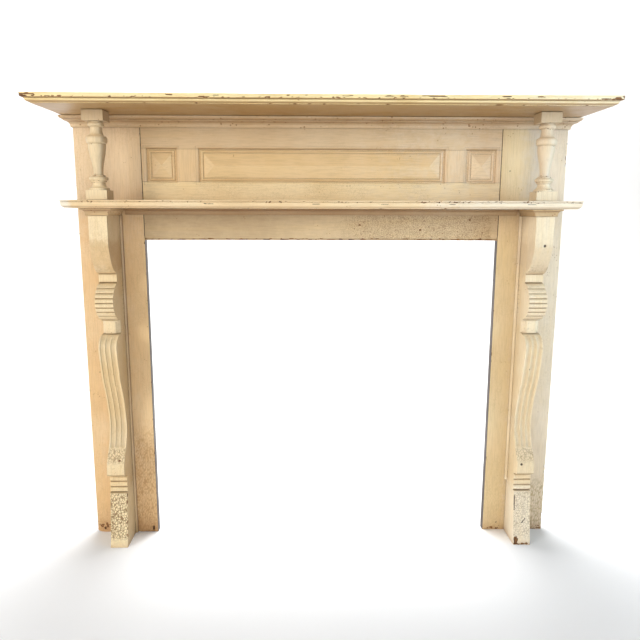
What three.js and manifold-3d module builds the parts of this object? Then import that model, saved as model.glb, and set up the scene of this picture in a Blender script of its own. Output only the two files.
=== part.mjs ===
// Painted wooden fireplace mantelpiece: a panelled frieze on two boards, with brackets, balusters and shelves.
// Millimetres, +Z up, the front faces -Y, the wall is at the back.
import * as THREE from 'three';
import { mergeVertices } from 'three/addons/utils/BufferGeometryUtils.js';
import Module from 'manifold-3d';

const wasm = await Module();
wasm.setup();

// Fireplace opening and the boards around it
const openingWidth = 1016;
const openingHeight = 904;
const boardWidth = 187;
const boardThickness = 22;
const boardArris = 2;
const fitGap = 0.3;

// Heights of the two shelves and the cornice
const lowerShelfUnderside = 993;
const lowerShelfThickness = 22;
const friezeTop = 1215;
const corniceHeight = 29;
const topShelfThickness = 23;

// Top shelf
const topShelfWidth = 1470;
const topShelfReach = 234;
const topShelfNose = 12;
const topShelfSetBack = 19;
const topShelfOvolo = 8;
const topShelfArris = 3;

// Cornice
const corniceReach = 28;
const corniceFoot = 4;
const corniceLip = 3;
const corniceFillet = 2.5;

// Frieze frame and panels
const topRailHeight = 49;
const panelZoneHeight = 107;
const mullionWidth = 46;
const mullionLine = 379.5;
const endStileWidth = 5;
const stickingWidth = 8.5;
const stickingDepth = 8;
const stickingQuirk = 1.2;
const rebateWidth = 8;
const panelThickness = 10;
const panelMargin = 3.2;
const panelSideMargin = 5.6;
const panelBead = 6;
const panelQuirk = 2.4;
const panelBeadHeight = 3.2;
const fieldEdge = 1.5;
const fieldRise = 6.5;

// Lower shelf and the moulding under it
const lowerShelfWidth = 1380;
const lowerShelfReach = 146;
const lowerShelfSetBack = 9;
const lowerShelfBead = 4;
const lowerShelfArris = 1.5;
const shelfFillet = 2;
const shelfQuirk = 1;
const shelfQuirkDepth = 2.5;
const bedMouldHeight = 17;
const bedMouldReach = 18;
const bedMouldFoot = 4;
const bedMouldLip = 3;

// Brackets, measured forward from the boards' face
const bracketWidth = 51;
const bracketTopDepth = 117;
const bracketCapHeight = 19;
const bracketCapReach = 16;
const bracketCapFoot = 5;
const bracketCapLip = 4;
const bracketQuirk = 2;
const footDepth = 94;
const shinDepth = 70;
const bandDepth = 61;
const bandCount = 3;
const bandRelief = 5;
const bandGroove = 1.6;
const anklePadDepth = 88;
const ankleDepth = 40;
const calfDepth = 83;
const kneeDepth = 97;
const neckBlockDepth = 58;
const neckBlockChamfer = 13;
const reedCount = 8;
const reedRelief = 4.5;
const bulgeRise = 47;
const collarDepth = 60;
const fluteCount = 3;
const flutePitch = 14.8;
const fluteWidth = 13.2;
const fluteDepth = 4.5;

// Strips in the corner of bracket and board
const cornerBeadSize = 7;
const cornerBeadBreak = 170;

// Balusters
const balusterSquare = 56;
const balusterLine = 597;
const balusterFrontReach = 127;
const plinthHeight = 25;
const capBlockHeight = 27;
const turningSides = 20;
const footRadius = 26.5;
const scotiaRadius = 16.5;
const footFilletRadius = 20.5;
const footBeadRadius = 24.6;
const stemCollarRadius = 18.3;
const stemRadius = 12.3;
const bellyRadius = 22.8;
const shoulderRadius = 27.4;
const throatRadius = 15;
const neckFilletRadius = 17.5;
const neckRingRadius = 21.2;

// Wear that changes the shape
const lostCornerWidth = 30;
const lostCornerHeight = 12;
const slotWidth = 4;
const slotHeight = 15;
const slotFromOpening = 12;

// How far a cutter stands past what it cuts, and the steps of a quarter round
const cutterClear = 5;
const arcSteps = 4;

// Places worked out from the sizes above
const halfOpening = openingWidth / 2;
const halfBoards = halfOpening + boardWidth;
const shelfUnderside = friezeTop + corniceHeight;
const boardHeight = shelfUnderside - fitGap;
const bracketLine = halfOpening + boardWidth / 2;
const bracketHeight = lowerShelfUnderside - bracketCapHeight - fitGap;
const lowerShelfTop = lowerShelfUnderside + lowerShelfThickness;
const panelZoneTop = friezeTop - topRailHeight;
const panelZoneBottom = panelZoneTop - panelZoneHeight;
const balusterHeight = shelfUnderside - lowerShelfTop - 2 * fitGap;
const totalDepth = topShelfReach + boardThickness;

const paint = {
  front: 0xe2c99c,
  shade: 0xc9a97a,
  shelf: 0xecd79c,
  cool: 0xddd3c0,
};

const model = new THREE.Group();
model.position.y = totalDepth / 2 - boardThickness;

function addPiece(name, geometry, colour) {
  const material = new THREE.MeshStandardMaterial({ color: colour, roughness: 0.6, metalness: 0 });
  const mesh = new THREE.Mesh(geometry, material);
  mesh.name = name;
  model.add(mesh);
}

// Solids from geometry, and back
function bareGeometry(geometry) {
  const bare = geometry.clone();
  bare.deleteAttribute('normal');
  bare.deleteAttribute('uv');
  bare.clearGroups();
  return mergeVertices(bare, 1e-4);
}

function toSolid(geometry) {
  const bare = bareGeometry(geometry);
  const corners = bare.index.array;
  const kept = [];
  for (let i = 0; i < corners.length; i += 3) {
    const [a, b, c] = [corners[i], corners[i + 1], corners[i + 2]];
    if (a !== b && b !== c && c !== a) {
      kept.push(a, b, c);
    }
  }
  const mesh = new wasm.Mesh({
    numProp: 3,
    vertProperties: new Float32Array(bare.attributes.position.array),
    triVerts: new Uint32Array(kept),
  });
  return new wasm.Manifold(mesh);
}

function toGeometry(solid) {
  const mesh = solid.getMesh();
  const geometry = new THREE.BufferGeometry();
  geometry.setAttribute('position', new THREE.BufferAttribute(mesh.vertProperties, 3));
  geometry.setIndex(new THREE.BufferAttribute(mesh.triVerts, 1));
  return geometry;
}

function block(x0, x1, y0, y1, z0, z1) {
  const box = new THREE.BoxGeometry(x1 - x0, y1 - y0, z1 - z0);
  box.translate((x0 + x1) / 2, (y0 + y1) / 2, (z0 + z1) / 2);
  return box;
}

function mirrored(geometry) {
  const copy = bareGeometry(geometry);
  copy.scale(-1, 1, 1);
  const corners = copy.index.array;
  for (let i = 0; i < corners.length; i += 3) {
    [corners[i + 1], corners[i + 2]] = [corners[i + 2], corners[i + 1]];
  }
  return copy;
}

function signedVolume(points, triangles) {
  let volume = 0;
  for (let i = 0; i < triangles.length; i += 3) {
    const [a, b, c] = [points[triangles[i]], points[triangles[i + 1]], points[triangles[i + 2]]];
    volume += a.dot(b.clone().cross(c)) / 6;
  }
  return volume;
}

// A closed skin through rings with the same number of points; capOutline is one ring laid flat
function loft(rings, capOutline) {
  const count = rings[0].length;
  const points = rings.flat();
  const triangles = [];
  for (let r = 0; r + 1 < rings.length; r += 1) {
    for (let i = 0; i < count; i += 1) {
      const a = r * count + i;
      const b = r * count + ((i + 1) % count);
      triangles.push(a, b, b + count, a, b + count, a + count);
    }
  }
  const clockwise = THREE.ShapeUtils.isClockWise(capOutline);
  const last = (rings.length - 1) * count;
  for (const cap of THREE.ShapeUtils.triangulateShape(capOutline, [])) {
    const [a, b, c] = clockwise ? cap.reverse() : cap;
    triangles.push(a, c, b, last + a, last + b, last + c);
  }
  if (signedVolume(points, triangles) < 0) {
    triangles.reverse();
  }
  const geometry = new THREE.BufferGeometry().setFromPoints(points);
  geometry.setIndex(triangles);
  return geometry;
}

const squareOutline = [[0, 0], [1, 0], [1, 1], [0, 1]].map(([u, v]) => new THREE.Vector2(u, v));

function levelRectangle(x0, x1, y0, y1, z) {
  return [[x0, y0], [x1, y0], [x1, y1], [x0, y1]].map(([x, y]) => new THREE.Vector3(x, y, z));
}

function uprightRectangle(x0, x1, z0, z1, y) {
  return [[x0, z0], [x0, z1], [x1, z1], [x1, z0]].map(([x, z]) => new THREE.Vector3(x, y, z));
}

// An outline of forward distance and height, drawn out sideways and centred on x = 0
function alongX(shape, width, curveSegments) {
  const body = new THREE.ExtrudeGeometry(shape, { depth: width, bevelEnabled: false, curveSegments });
  const forward = new THREE.Vector3(0, -1, 0);
  const up = new THREE.Vector3(0, 0, 1);
  const left = new THREE.Vector3(-1, 0, 0);
  body.applyMatrix4(new THREE.Matrix4().makeBasis(forward, up, left));
  body.translate(width / 2, 0, 0);
  return body;
}

function quarterArc(centre, radii, from, to, steps = arcSteps) {
  const points = [];
  for (let i = 0; i <= steps; i += 1) {
    const angle = THREE.MathUtils.degToRad(from + ((to - from) * i) / steps);
    points.push([centre[0] + radii[0] * Math.cos(angle), centre[1] + radii[1] * Math.sin(angle)]);
  }
  return points;
}

// A length part of the way from one size to another
function between(from, to, part) {
  return from + (to - from) * part;
}

// Boards
function pilasterBoard() {
  const rings = [
    uprightRectangle(halfOpening + boardArris, halfBoards - boardArris, 0, boardHeight, 0),
    uprightRectangle(halfOpening, halfBoards, 0, boardHeight, boardArris),
    uprightRectangle(halfOpening, halfBoards, 0, boardHeight, boardThickness),
  ];
  return toSolid(loft(rings, squareOutline));
}

// The outer bottom corner is rounded off where it is worn away
function lostCorner() {
  const shape = new THREE.Shape();
  const inner = halfBoards - lostCornerWidth;
  const outer = halfBoards + cutterClear;
  shape.moveTo(inner, -cutterClear);
  shape.lineTo(inner, 0);
  shape.quadraticCurveTo(halfBoards, 0, halfBoards, lostCornerHeight);
  shape.lineTo(outer, lostCornerHeight);
  shape.lineTo(outer, -cutterClear);
  const depth = boardThickness + 2 * cutterClear;
  const cutter = new THREE.ExtrudeGeometry(shape, { depth, bevelEnabled: false, curveSegments: arcSteps });
  cutter.rotateX(Math.PI / 2);
  cutter.translate(0, boardThickness + cutterClear, 0);
  return toSolid(cutter);
}

function boardSlot() {
  const x = halfOpening + slotFromOpening;
  const back = boardThickness + cutterClear;
  return toSolid(block(x, x + slotWidth, -cutterClear, back, -cutterClear, slotHeight));
}

function addBoards() {
  const right = pilasterBoard();
  const wornLeft = right.subtract(lostCorner()).subtract(boardSlot());
  addPiece('pilaster_board_right', toGeometry(right), paint.cool);
  addPiece('pilaster_board_left', mirrored(toGeometry(wornLeft)), paint.front);
}

// The moulded edge of a panel opening: a small step, then a quarter round that falls to the panel's ground, and
// behind it a rebate that takes the panel
function panelCutter(x0, x1) {
  const z0 = panelZoneBottom + stickingWidth;
  const z1 = panelZoneTop - stickingWidth;
  const round = stickingWidth - stickingQuirk;
  const profile = [
    [stickingWidth, -cutterClear],
    [stickingWidth, stickingQuirk],
    ...quarterArc([round, stickingDepth], [-round, stickingQuirk - stickingDepth], 90, 0),
    [rebateWidth, stickingDepth],
    [rebateWidth, boardThickness + cutterClear],
  ];
  const ring = ([out, depth]) => uprightRectangle(x0 - out, x1 + out, z0 - out, z1 + out, depth);
  return toSolid(loft(profile.map(ring), squareOutline));
}

// A panel with a small bead round a hipped field; the ridge runs along the longer side
function raisedPanel(x0, x1, point) {
  const z0 = panelZoneBottom + stickingWidth;
  const z1 = panelZoneTop - stickingWidth;
  const ground = stickingDepth + fitGap;
  const edge = rebateWidth - fitGap;
  const rings = [];
  const ring = (inset, depth, insetX = inset) => {
    rings.push(uprightRectangle(x0 + insetX, x1 - insetX, z0 + inset, z1 - inset, depth));
  };
  const step = (inset, depth) => ring(panelMargin + inset, depth, panelSideMargin + inset);
  ring(-edge, ground + panelThickness);
  ring(-edge, ground);
  step(0, ground);
  for (const [u, v] of quarterArc([0, 0], [panelBead / 2, panelBeadHeight], 180, 0)) {
    step(panelBead / 2 + u, ground - v);
  }
  step(panelBead + panelQuirk, ground);
  step(panelBead + panelQuirk, ground - fieldEdge);
  const toRidge = (z1 - z0) / 2;
  ring(toRidge, ground - fieldEdge - fieldRise, point ? (x1 - x0) / 2 : toRidge);
  return toGeometry(toSolid(loft(rings, squareOutline)));
}

function addFrieze() {
  const friezeEdge = halfOpening - fitGap;
  const half = mullionWidth / 2 + stickingWidth;
  const innerEdge = mullionLine - half;
  const outerEdge = mullionLine + half;
  const endEdge = friezeEdge - endStileWidth - stickingWidth;
  const openings = [[-endEdge, -outerEdge], [-innerEdge, innerEdge], [outerEdge, endEdge]];
  const cutters = openings.map(([x0, x1]) => panelCutter(x0, x1));
  const cut = (geometry) => {
    const body = cutters.reduce((solid, cutter) => solid.subtract(cutter), toSolid(geometry));
    return toGeometry(body);
  };
  const top = [panelZoneTop - stickingWidth, boardHeight];
  const bottom = [openingHeight, panelZoneBottom + stickingWidth];
  const uprights = [bottom[1] + fitGap, top[0] - fitGap];
  const rail = (z0, z1) => cut(block(-friezeEdge, friezeEdge, 0, boardThickness, z0, z1));
  const upright = (x0, x1) => cut(block(x0, x1, 0, boardThickness, uprights[0], uprights[1]));

  addPiece('frieze_top_rail', rail(top[0], top[1]), paint.shade);
  addPiece('frieze_bottom_rail', rail(bottom[0], bottom[1]), paint.front);
  addPiece('frieze_mullion_left', upright(-outerEdge, -innerEdge), paint.front);
  addPiece('frieze_mullion_right', upright(innerEdge, outerEdge), paint.front);
  addPiece('frieze_stile_left', upright(-friezeEdge, -endEdge), paint.front);
  addPiece('frieze_stile_right', upright(endEdge, friezeEdge), paint.front);

  addPiece('panel_left', raisedPanel(openings[0][0], openings[0][1], true), paint.front);
  addPiece('panel_center', raisedPanel(openings[1][0], openings[1][1], false), paint.front);
  addPiece('panel_right', raisedPanel(openings[2][0], openings[2][1], true), paint.front);
}

// Cornice
function corniceOutline() {
  const coveHeight = corniceHeight * 0.45;
  const ovoloHeight = corniceHeight * 0.3;
  const middle = (corniceFoot + corniceReach) / 2;
  const filletEdge = middle + corniceFillet;
  const coveTop = corniceLip + coveHeight;
  const ovoloFoot = coveTop + corniceFillet;
  return [
    [fitGap, 0],
    [corniceFoot, 0],
    ...quarterArc([filletEdge, corniceLip], [corniceFoot - filletEdge, coveHeight], 0, 90),
    [filletEdge, ovoloFoot],
    ...quarterArc([middle, ovoloFoot + ovoloHeight], [corniceReach - middle, ovoloHeight], -90, 0),
    [corniceReach, corniceHeight - fitGap],
    [fitGap, corniceHeight - fitGap],
  ];
}

function addCornice() {
  const outline = corniceOutline();
  const flat = outline.map(([out, height]) => new THREE.Vector2(out, height));
  const mitreGap = fitGap * 1.5;
  const point = (x, y, height) => new THREE.Vector3(x, y, friezeTop + height);
  const front = [
    outline.map(([out, height]) => point(halfBoards + out, -out, height)),
    outline.map(([out, height]) => point(-halfBoards - out, -out, height)),
  ];
  const sideReturn = [
    outline.map(([out, height]) => point(-halfBoards - out, boardThickness, height)),
    outline.map(([out, height]) => point(-halfBoards - out, mitreGap - out, height)),
  ];
  addPiece('cornice_front', toGeometry(toSolid(loft(front, flat))), paint.shade);
  const left = toGeometry(toSolid(loft(sideReturn, flat)));
  addPiece('cornice_return_left', left, paint.shade);
  addPiece('cornice_return_right', mirrored(left), paint.shade);
}

// A shelf board whose front and end edges carry one moulding; each step of it is an inset and a height
function mouldedShelf(width, reach, back, bottom, edge) {
  const rings = edge.map(([inset, height]) => {
    const x = width / 2 - inset;
    return levelRectangle(-x, x, -reach + inset, back, bottom + height);
  });
  return toGeometry(toSolid(loft(rings, squareOutline)));
}

function addShelves() {
  const arris = (radius, top) => quarterArc([radius, top - radius], [-radius, radius], 0, 90, 2);
  const noseBottom = topShelfThickness - topShelfNose;
  const ovoloFoot = topShelfSetBack - shelfFillet;
  const ovoloTop = noseBottom - shelfQuirk;
  const topEdge = [
    [topShelfSetBack, fitGap],
    [topShelfSetBack, shelfFillet],
    ...quarterArc([ovoloFoot, ovoloTop], [-topShelfOvolo, ovoloTop - shelfFillet], -90, 0),
    [ovoloFoot - topShelfOvolo + shelfQuirk, noseBottom],
    [shelfFillet, noseBottom],
    [0, noseBottom + shelfFillet],
    ...arris(topShelfArris, topShelfThickness),
  ];
  const top = mouldedShelf(topShelfWidth, topShelfReach, boardThickness, shelfUnderside, topEdge);
  addPiece('top_shelf', top, paint.shelf);

  const beadFoot = lowerShelfThickness - lowerShelfBead;
  const quirkFoot = beadFoot - 2 * shelfQuirk;
  const lowerRound = lowerShelfSetBack - shelfQuirk;
  const lowerEdge = [
    [lowerShelfSetBack, 0],
    ...quarterArc([lowerShelfSetBack, quirkFoot], [-lowerRound, quirkFoot - shelfFillet], -90, 0),
    [shelfQuirkDepth, quirkFoot],
    [shelfQuirkDepth, beadFoot],
    [0, beadFoot],
    ...arris(lowerShelfArris, lowerShelfThickness),
  ];
  const lower = mouldedShelf(lowerShelfWidth, lowerShelfReach, -fitGap, lowerShelfUnderside, lowerEdge);
  addPiece('lower_shelf', lower, paint.front);
}

// The moulding under the lower shelf fills the run between the brackets
function addBedMould() {
  const outline = new THREE.Shape();
  const top = lowerShelfUnderside - fitGap;
  const bottom = top - bedMouldHeight;
  outline.moveTo(fitGap, bottom);
  outline.lineTo(bedMouldFoot, bottom);
  outline.lineTo(bedMouldFoot, bottom + bedMouldLip);
  outline.quadraticCurveTo(bedMouldFoot, top - bedMouldLip, bedMouldReach, top - bedMouldLip);
  outline.lineTo(bedMouldReach, top);
  outline.lineTo(fitGap, top);
  const run = 2 * (bracketLine - bracketWidth / 2 - bracketCapReach - fitGap);
  addPiece('shelf_bed_mould', toGeometry(toSolid(alongX(outline, run, arcSteps))), paint.shade);
}

// The bracket's front edge, from the floor up: forward distance, and height as a share of the bracket's own
const share = (part) => part * bracketHeight;
const bandsBottom = 0.1665;
const bandsTop = 0.219;
const padBottom = 0.231;
const flutesBottom = 0.304;
const neckBottom = 0.658;
const neckTop = 0.6975;
const reedsBottom = 0.7005;
const reedsTop = 0.8085;
const collarBottom = 0.811;
const collarTop = 0.8335;
const shoulderBottom = 0.836;
const shoulderTop = 0.914;

function footCurve() {
  const curve = new THREE.QuadraticBezierCurve(
    new THREE.Vector2(footDepth, 0),
    new THREE.Vector2(between(shinDepth, footDepth, 0.33), share(bandsBottom / 2)),
    new THREE.Vector2(shinDepth, share(bandsBottom)),
  );
  return curve.getPoints(arcSteps);
}

function bandPoints() {
  const bottom = share(bandsBottom);
  const top = share(bandsTop);
  const height = (top - bottom) / bandCount;
  const points = [];
  for (let i = 0; i < bandCount; i += 1) {
    const z = bottom + i * height;
    const radii = [bandRelief, (height - bandGroove) / 2];
    points.push(...quarterArc([bandDepth, z + height / 2], radii, -90, 90));
  }
  return points.map(([depth, z]) => new THREE.Vector2(depth, z));
}

const legKnots = [
  [anklePadDepth, padBottom],
  [anklePadDepth, 0.25],
  [between(ankleDepth, anklePadDepth, 0.87), 0.274],
  [between(ankleDepth, anklePadDepth, 0.35), 0.312],
  [between(ankleDepth, anklePadDepth, 0.06), 0.348],
  [ankleDepth, 0.376],
  [between(ankleDepth, calfDepth, 0.14), 0.421],
  [between(ankleDepth, calfDepth, 0.44), 0.47],
  [between(ankleDepth, calfDepth, 0.88), 0.52],
  [between(calfDepth, kneeDepth, 0.21), 0.556],
  [between(calfDepth, kneeDepth, 0.64), 0.587],
  [kneeDepth, 0.619],
  [between(neckBlockDepth, kneeDepth, 0.82), 0.641],
  [between(neckBlockDepth, kneeDepth, 0.41), 0.653],
  [neckBlockDepth - 2 * bracketQuirk, neckBottom],
];

function legCurve() {
  const knots = legKnots.map(([depth, part]) => new THREE.Vector2(depth, share(part)));
  return new THREE.SplineCurve(knots).getPoints(44);
}

function reedPoints() {
  const middle = share((reedsBottom + reedsTop) / 2);
  const halfHeight = share((reedsTop - reedsBottom) / 2);
  const reedRound = [[0, 0], [0.18, 0.7], [0.5, 1], [0.82, 0.7]];
  const points = [];
  for (let i = 0; i < reedCount; i += 1) {
    for (const [along, height] of reedRound) {
      const reach = 2 * (i + along) / reedCount - 1;
      const bulge = bulgeRise * (1 - reach ** 2) ** 0.65;
      const depth = neckBlockDepth + bulge - reedRelief * (1 - height);
      const z = middle + halfHeight * reach;
      points.push(new THREE.Vector2(Math.max(depth, neckBlockDepth - bracketQuirk), z));
    }
  }
  return points;
}

function shoulderCurve() {
  const start = new THREE.Vector2(collarDepth + bracketQuirk, share(shoulderBottom));
  const controlDepth = between(collarDepth, bracketTopDepth, 0.67);
  const control = new THREE.Vector2(controlDepth, share(shoulderBottom + 0.008));
  const end = new THREE.Vector2(bracketTopDepth, share(shoulderTop));
  return new THREE.QuadraticBezierCurve(start, control, end).getPoints(8);
}

function bracketOutline() {
  const front = [
    ...footCurve(),
    ...bandPoints(),
    new THREE.Vector2(bandDepth - bracketQuirk, share(bandsTop + 0.002)),
    new THREE.Vector2(anklePadDepth - bracketQuirk, share(padBottom - 0.003)),
    ...legCurve(),
    new THREE.Vector2(neckBlockDepth, share(neckBottom)),
    new THREE.Vector2(neckBlockDepth, share(neckTop)),
    ...reedPoints(),
    new THREE.Vector2(neckBlockDepth - bracketQuirk, share(reedsTop)),
    new THREE.Vector2(collarDepth, share(collarBottom)),
    new THREE.Vector2(collarDepth, share(collarTop)),
    new THREE.Vector2(collarDepth - bracketQuirk, share(shoulderBottom - 0.001)),
    ...shoulderCurve(),
    new THREE.Vector2(bracketTopDepth, bracketHeight),
  ];
  return new THREE.Shape([
    new THREE.Vector2(fitGap, 0),
    ...front,
    new THREE.Vector2(fitGap, bracketHeight),
  ]);
}

// The leg's depth at a height, read off its curve
function legDepth(z) {
  const points = legCurve();
  const next = points.findIndex((point) => point.y >= z);
  const [a, b] = [points[next - 1], points[next]];
  return a.x + ((b.x - a.x) * (z - a.y)) / (b.y - a.y);
}

// One flute: a round groove that follows the leg and ends in a scoop at both ends
function fluteCutter(x) {
  const low = share(flutesBottom);
  const high = share(neckBottom - 0.001);
  const runOut = fluteWidth / 2;
  const runSteps = 26;
  const ends = [0.02, 0.15, 0.4, 0.7].map((part) => part * runOut);
  const heights = ends.map((away) => low + away);
  for (let i = 0; i <= runSteps; i += 1) {
    heights.push(low + runOut + ((high - low - 2 * runOut) * i) / runSteps);
  }
  heights.push(...ends.reverse().map((away) => high - away));
  const rings = heights.map((z) => {
    const fromEnd = Math.min(z - low, high - z);
    const round = Math.sqrt(1 - (1 - Math.min(1, fromEnd / runOut)) ** 2);
    const front = -legDepth(z);
    const half = (fluteWidth / 2) * round;
    const arc = quarterArc([x, front], [half, fluteDepth * round], 180, 0);
    const corners = [[x + half, front - cutterClear], [x - half, front - cutterClear]];
    return [...arc, ...corners].map(([u, v]) => new THREE.Vector3(u, v, z));
  });
  const outline = rings[0].map((point) => new THREE.Vector2(point.x, point.y));
  return toSolid(loft(rings, outline));
}

// The half-octagon block: both front corners are cut off
function neckChamfer(side) {
  const edge = (side * bracketWidth) / 2;
  const inner = edge - side * (neckBlockChamfer + cutterClear);
  const outer = edge + side * cutterClear;
  const front = -neckBlockDepth - cutterClear;
  const back = front + neckBlockChamfer + 2 * cutterClear;
  const corners = [[inner, front], [outer, front], [outer, back]];
  const ring = (z) => corners.map(([x, y]) => new THREE.Vector3(x, y, z));
  const outline = corners.map(([x, y]) => new THREE.Vector2(x, y));
  return toSolid(loft([ring(share(neckBottom) + fitGap), ring(share(neckTop) - fitGap)], outline));
}

function bracket() {
  let body = toSolid(alongX(bracketOutline(), bracketWidth));
  for (let i = 0; i < fluteCount; i += 1) {
    body = body.subtract(fluteCutter((i - (fluteCount - 1) / 2) * flutePitch));
  }
  return body.subtract(neckChamfer(1)).subtract(neckChamfer(-1));
}

function addBrackets() {
  const shape = toGeometry(bracket());
  const half = bracketWidth / 2;
  const coveEdge = bracketCapReach - bracketQuirk;
  const coveHeight = bracketCapHeight - 2 * bracketCapLip;
  const capEdge = [
    [bracketCapFoot, 0],
    ...quarterArc([coveEdge, bracketCapLip], [bracketCapFoot - coveEdge, coveHeight], 0, 90),
    [bracketCapReach, bracketCapHeight - bracketCapLip],
    [bracketCapReach, bracketCapHeight - fitGap],
  ];
  for (const [name, side, colour] of [['left', -1, paint.front], ['right', 1, paint.cool]]) {
    const body = shape.clone();
    body.translate(side * bracketLine, 0, 0);
    addPiece(`bracket_${name}`, body, colour);
    const rings = capEdge.map(([out, height]) => {
      const reach = half + out;
      const z = bracketHeight + fitGap + height;
      return levelRectangle(-reach, reach, -bracketTopDepth - out, -fitGap, z);
    });
    const cap = toGeometry(toSolid(loft(rings, squareOutline)));
    cap.translate(side * bracketLine, 0, 0);
    addPiece(`bracket_cap_${name}`, cap, colour);
  }
}

// Quarter-round strips on the opening's side of each bracket
function cornerBead(bottom) {
  const arc = quarterArc([-fitGap, -fitGap], [-cornerBeadSize, -cornerBeadSize], 90, 0);
  const outline = [...arc, [-fitGap, -fitGap]].map(([x, y]) => new THREE.Vector2(x, y));
  const ring = (z) => outline.map((point) => new THREE.Vector3(point.x, point.y, z));
  const geometry = toGeometry(toSolid(loft([ring(bottom), ring(bracketHeight)], outline)));
  geometry.translate(bracketLine - bracketWidth / 2, 0, 0);
  return geometry;
}

function addCornerBeads() {
  addPiece('corner_bead_left', mirrored(cornerBead(0)), paint.shade);
  addPiece('corner_bead_right', cornerBead(cornerBeadBreak), paint.front);
}

// The turned profile from plinth to cap: heights are shares of the turning's own
function turningProfile(turnedHeight) {
  const path = new THREE.Path();
  const level = (part) => plinthHeight + part * turnedHeight;
  const sink = cutterClear / 2;
  const ring = (inner, outer, from, to) => {
    const half = (level(to) - level(from)) / 2;
    path.lineTo(inner, level(from));
    path.absellipse(inner, level(from) + half, outer - inner, half, -Math.PI / 2, Math.PI / 2, false);
  };
  path.moveTo(0, level(0) - sink);
  path.lineTo(footRadius, level(0) - sink);
  path.lineTo(footRadius, level(0.03));
  path.quadraticCurveTo(scotiaRadius, level(0.04), scotiaRadius, level(0.115));
  path.lineTo(footFilletRadius, level(0.12));
  ring(footFilletRadius, footBeadRadius, 0.138, 0.198);
  path.lineTo(stemCollarRadius, level(0.2));
  path.lineTo(stemCollarRadius, level(0.218));
  path.lineTo(stemRadius, level(0.226));
  path.quadraticCurveTo(stemRadius, level(0.34), between(stemRadius, bellyRadius, 0.55), level(0.47));
  path.quadraticCurveTo(bellyRadius, level(0.585), bellyRadius, level(0.67));
  ring(bellyRadius - bracketQuirk / 2, shoulderRadius, 0.678, 0.79);
  path.quadraticCurveTo(throatRadius, level(0.81), throatRadius, level(0.915));
  ring(neckFilletRadius, neckRingRadius, 0.925, 0.98);
  path.lineTo(neckFilletRadius, level(1) + sink);
  path.lineTo(0, level(1) + sink);
  return path.getPoints(3);
}

function baluster() {
  const turnedHeight = balusterHeight - plinthHeight - capBlockHeight;
  const turned = new THREE.LatheGeometry(turningProfile(turnedHeight), turningSides);
  turned.rotateX(Math.PI / 2);
  const half = balusterSquare / 2;
  const plinth = block(-half, half, -half, half, 0, plinthHeight);
  const cap = block(-half, half, -half, half, balusterHeight - capBlockHeight, balusterHeight);
  return toGeometry(toSolid(turned).add(toSolid(plinth)).add(toSolid(cap)));
}

function addBalusters() {
  const shape = baluster();
  const axisReach = balusterFrontReach - balusterSquare / 2;
  for (const [name, side, colour] of [['left', -1, paint.front], ['right', 1, paint.cool]]) {
    const body = shape.clone();
    body.translate(side * balusterLine, -axisReach, lowerShelfTop + fitGap);
    addPiece(`baluster_${name}`, body, colour);
  }
}

addBoards();
addFrieze();
addCornice();
addShelves();
addBedMould();
addBrackets();
addCornerBeads();
addBalusters();

export default model;
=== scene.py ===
"""Painted wooden fireplace mantelpiece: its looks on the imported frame. Metres, +Z up, front towards -Y."""
import math

import bmesh
import bpy
import numpy as np
from mathutils import Matrix, Vector


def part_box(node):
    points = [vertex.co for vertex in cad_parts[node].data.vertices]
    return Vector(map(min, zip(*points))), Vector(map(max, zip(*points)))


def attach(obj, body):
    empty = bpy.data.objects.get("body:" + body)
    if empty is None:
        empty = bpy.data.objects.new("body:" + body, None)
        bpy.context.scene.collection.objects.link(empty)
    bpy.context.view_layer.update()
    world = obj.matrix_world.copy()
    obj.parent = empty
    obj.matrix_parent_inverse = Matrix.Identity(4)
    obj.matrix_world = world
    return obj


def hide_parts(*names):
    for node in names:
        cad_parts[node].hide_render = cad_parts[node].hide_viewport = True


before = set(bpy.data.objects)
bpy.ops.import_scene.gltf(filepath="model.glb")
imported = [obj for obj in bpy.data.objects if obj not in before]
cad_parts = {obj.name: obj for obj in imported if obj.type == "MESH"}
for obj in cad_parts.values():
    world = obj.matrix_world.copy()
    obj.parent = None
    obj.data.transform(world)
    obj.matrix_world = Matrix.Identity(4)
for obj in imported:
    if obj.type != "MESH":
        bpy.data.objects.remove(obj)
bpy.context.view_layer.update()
MM = 0.001

# Camera, at the photograph's viewing angle
CAMERA_PLACE = Vector((-0.0385, -1.691, 0.9872))
CAMERA_YAW = 0.0186
CAMERA_PITCH = 0.1744
CAMERA_ROLL = 0.0028
CAMERA_LENS = 34.785
SENSOR_WIDTH = 36.0

# Places of the main pieces, from the frame
BOARD_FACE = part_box("pilaster_board_left")[0].y
BOARD_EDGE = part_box("pilaster_board_right")[1].x
OPENING_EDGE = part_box("pilaster_board_right")[0].x
OPENING_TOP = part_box("frieze_bottom_rail")[0].z
BRACKET_LINE = (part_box("bracket_right")[0].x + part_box("bracket_right")[1].x) / 2
BRACKET_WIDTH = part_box("bracket_right")[1].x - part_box("bracket_right")[0].x
BRACKET_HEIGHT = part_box("bracket_right")[1].z
FRIEZE_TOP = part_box("cornice_front")[0].z
FIT_GAP = 0.3 * MM

# Mouldings on the edges of the shelves
TOP_NOSE = 12 * MM
TOP_SET_BACK = 19 * MM
TOP_OVOLO = 8 * MM
TOP_ARRIS = 3 * MM
SHELF_FILLET = 2 * MM
SHELF_QUIRK = 1 * MM
LOWER_SET_BACK = 9 * MM
LOWER_BEAD = 4 * MM
LOWER_ARRIS = 1.5 * MM
LOWER_QUIRK_DEPTH = 2.5 * MM

# Wear that changes the boards' shape
LOST_CORNER_WIDTH = 30 * MM
LOST_CORNER_HEIGHT = 12 * MM
SLOT_FROM_OPENING = 12 * MM
SLOT_WIDTH = 4 * MM
SLOT_HEIGHT = 15 * MM
SLOT_DEPTH = 14 * MM

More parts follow.
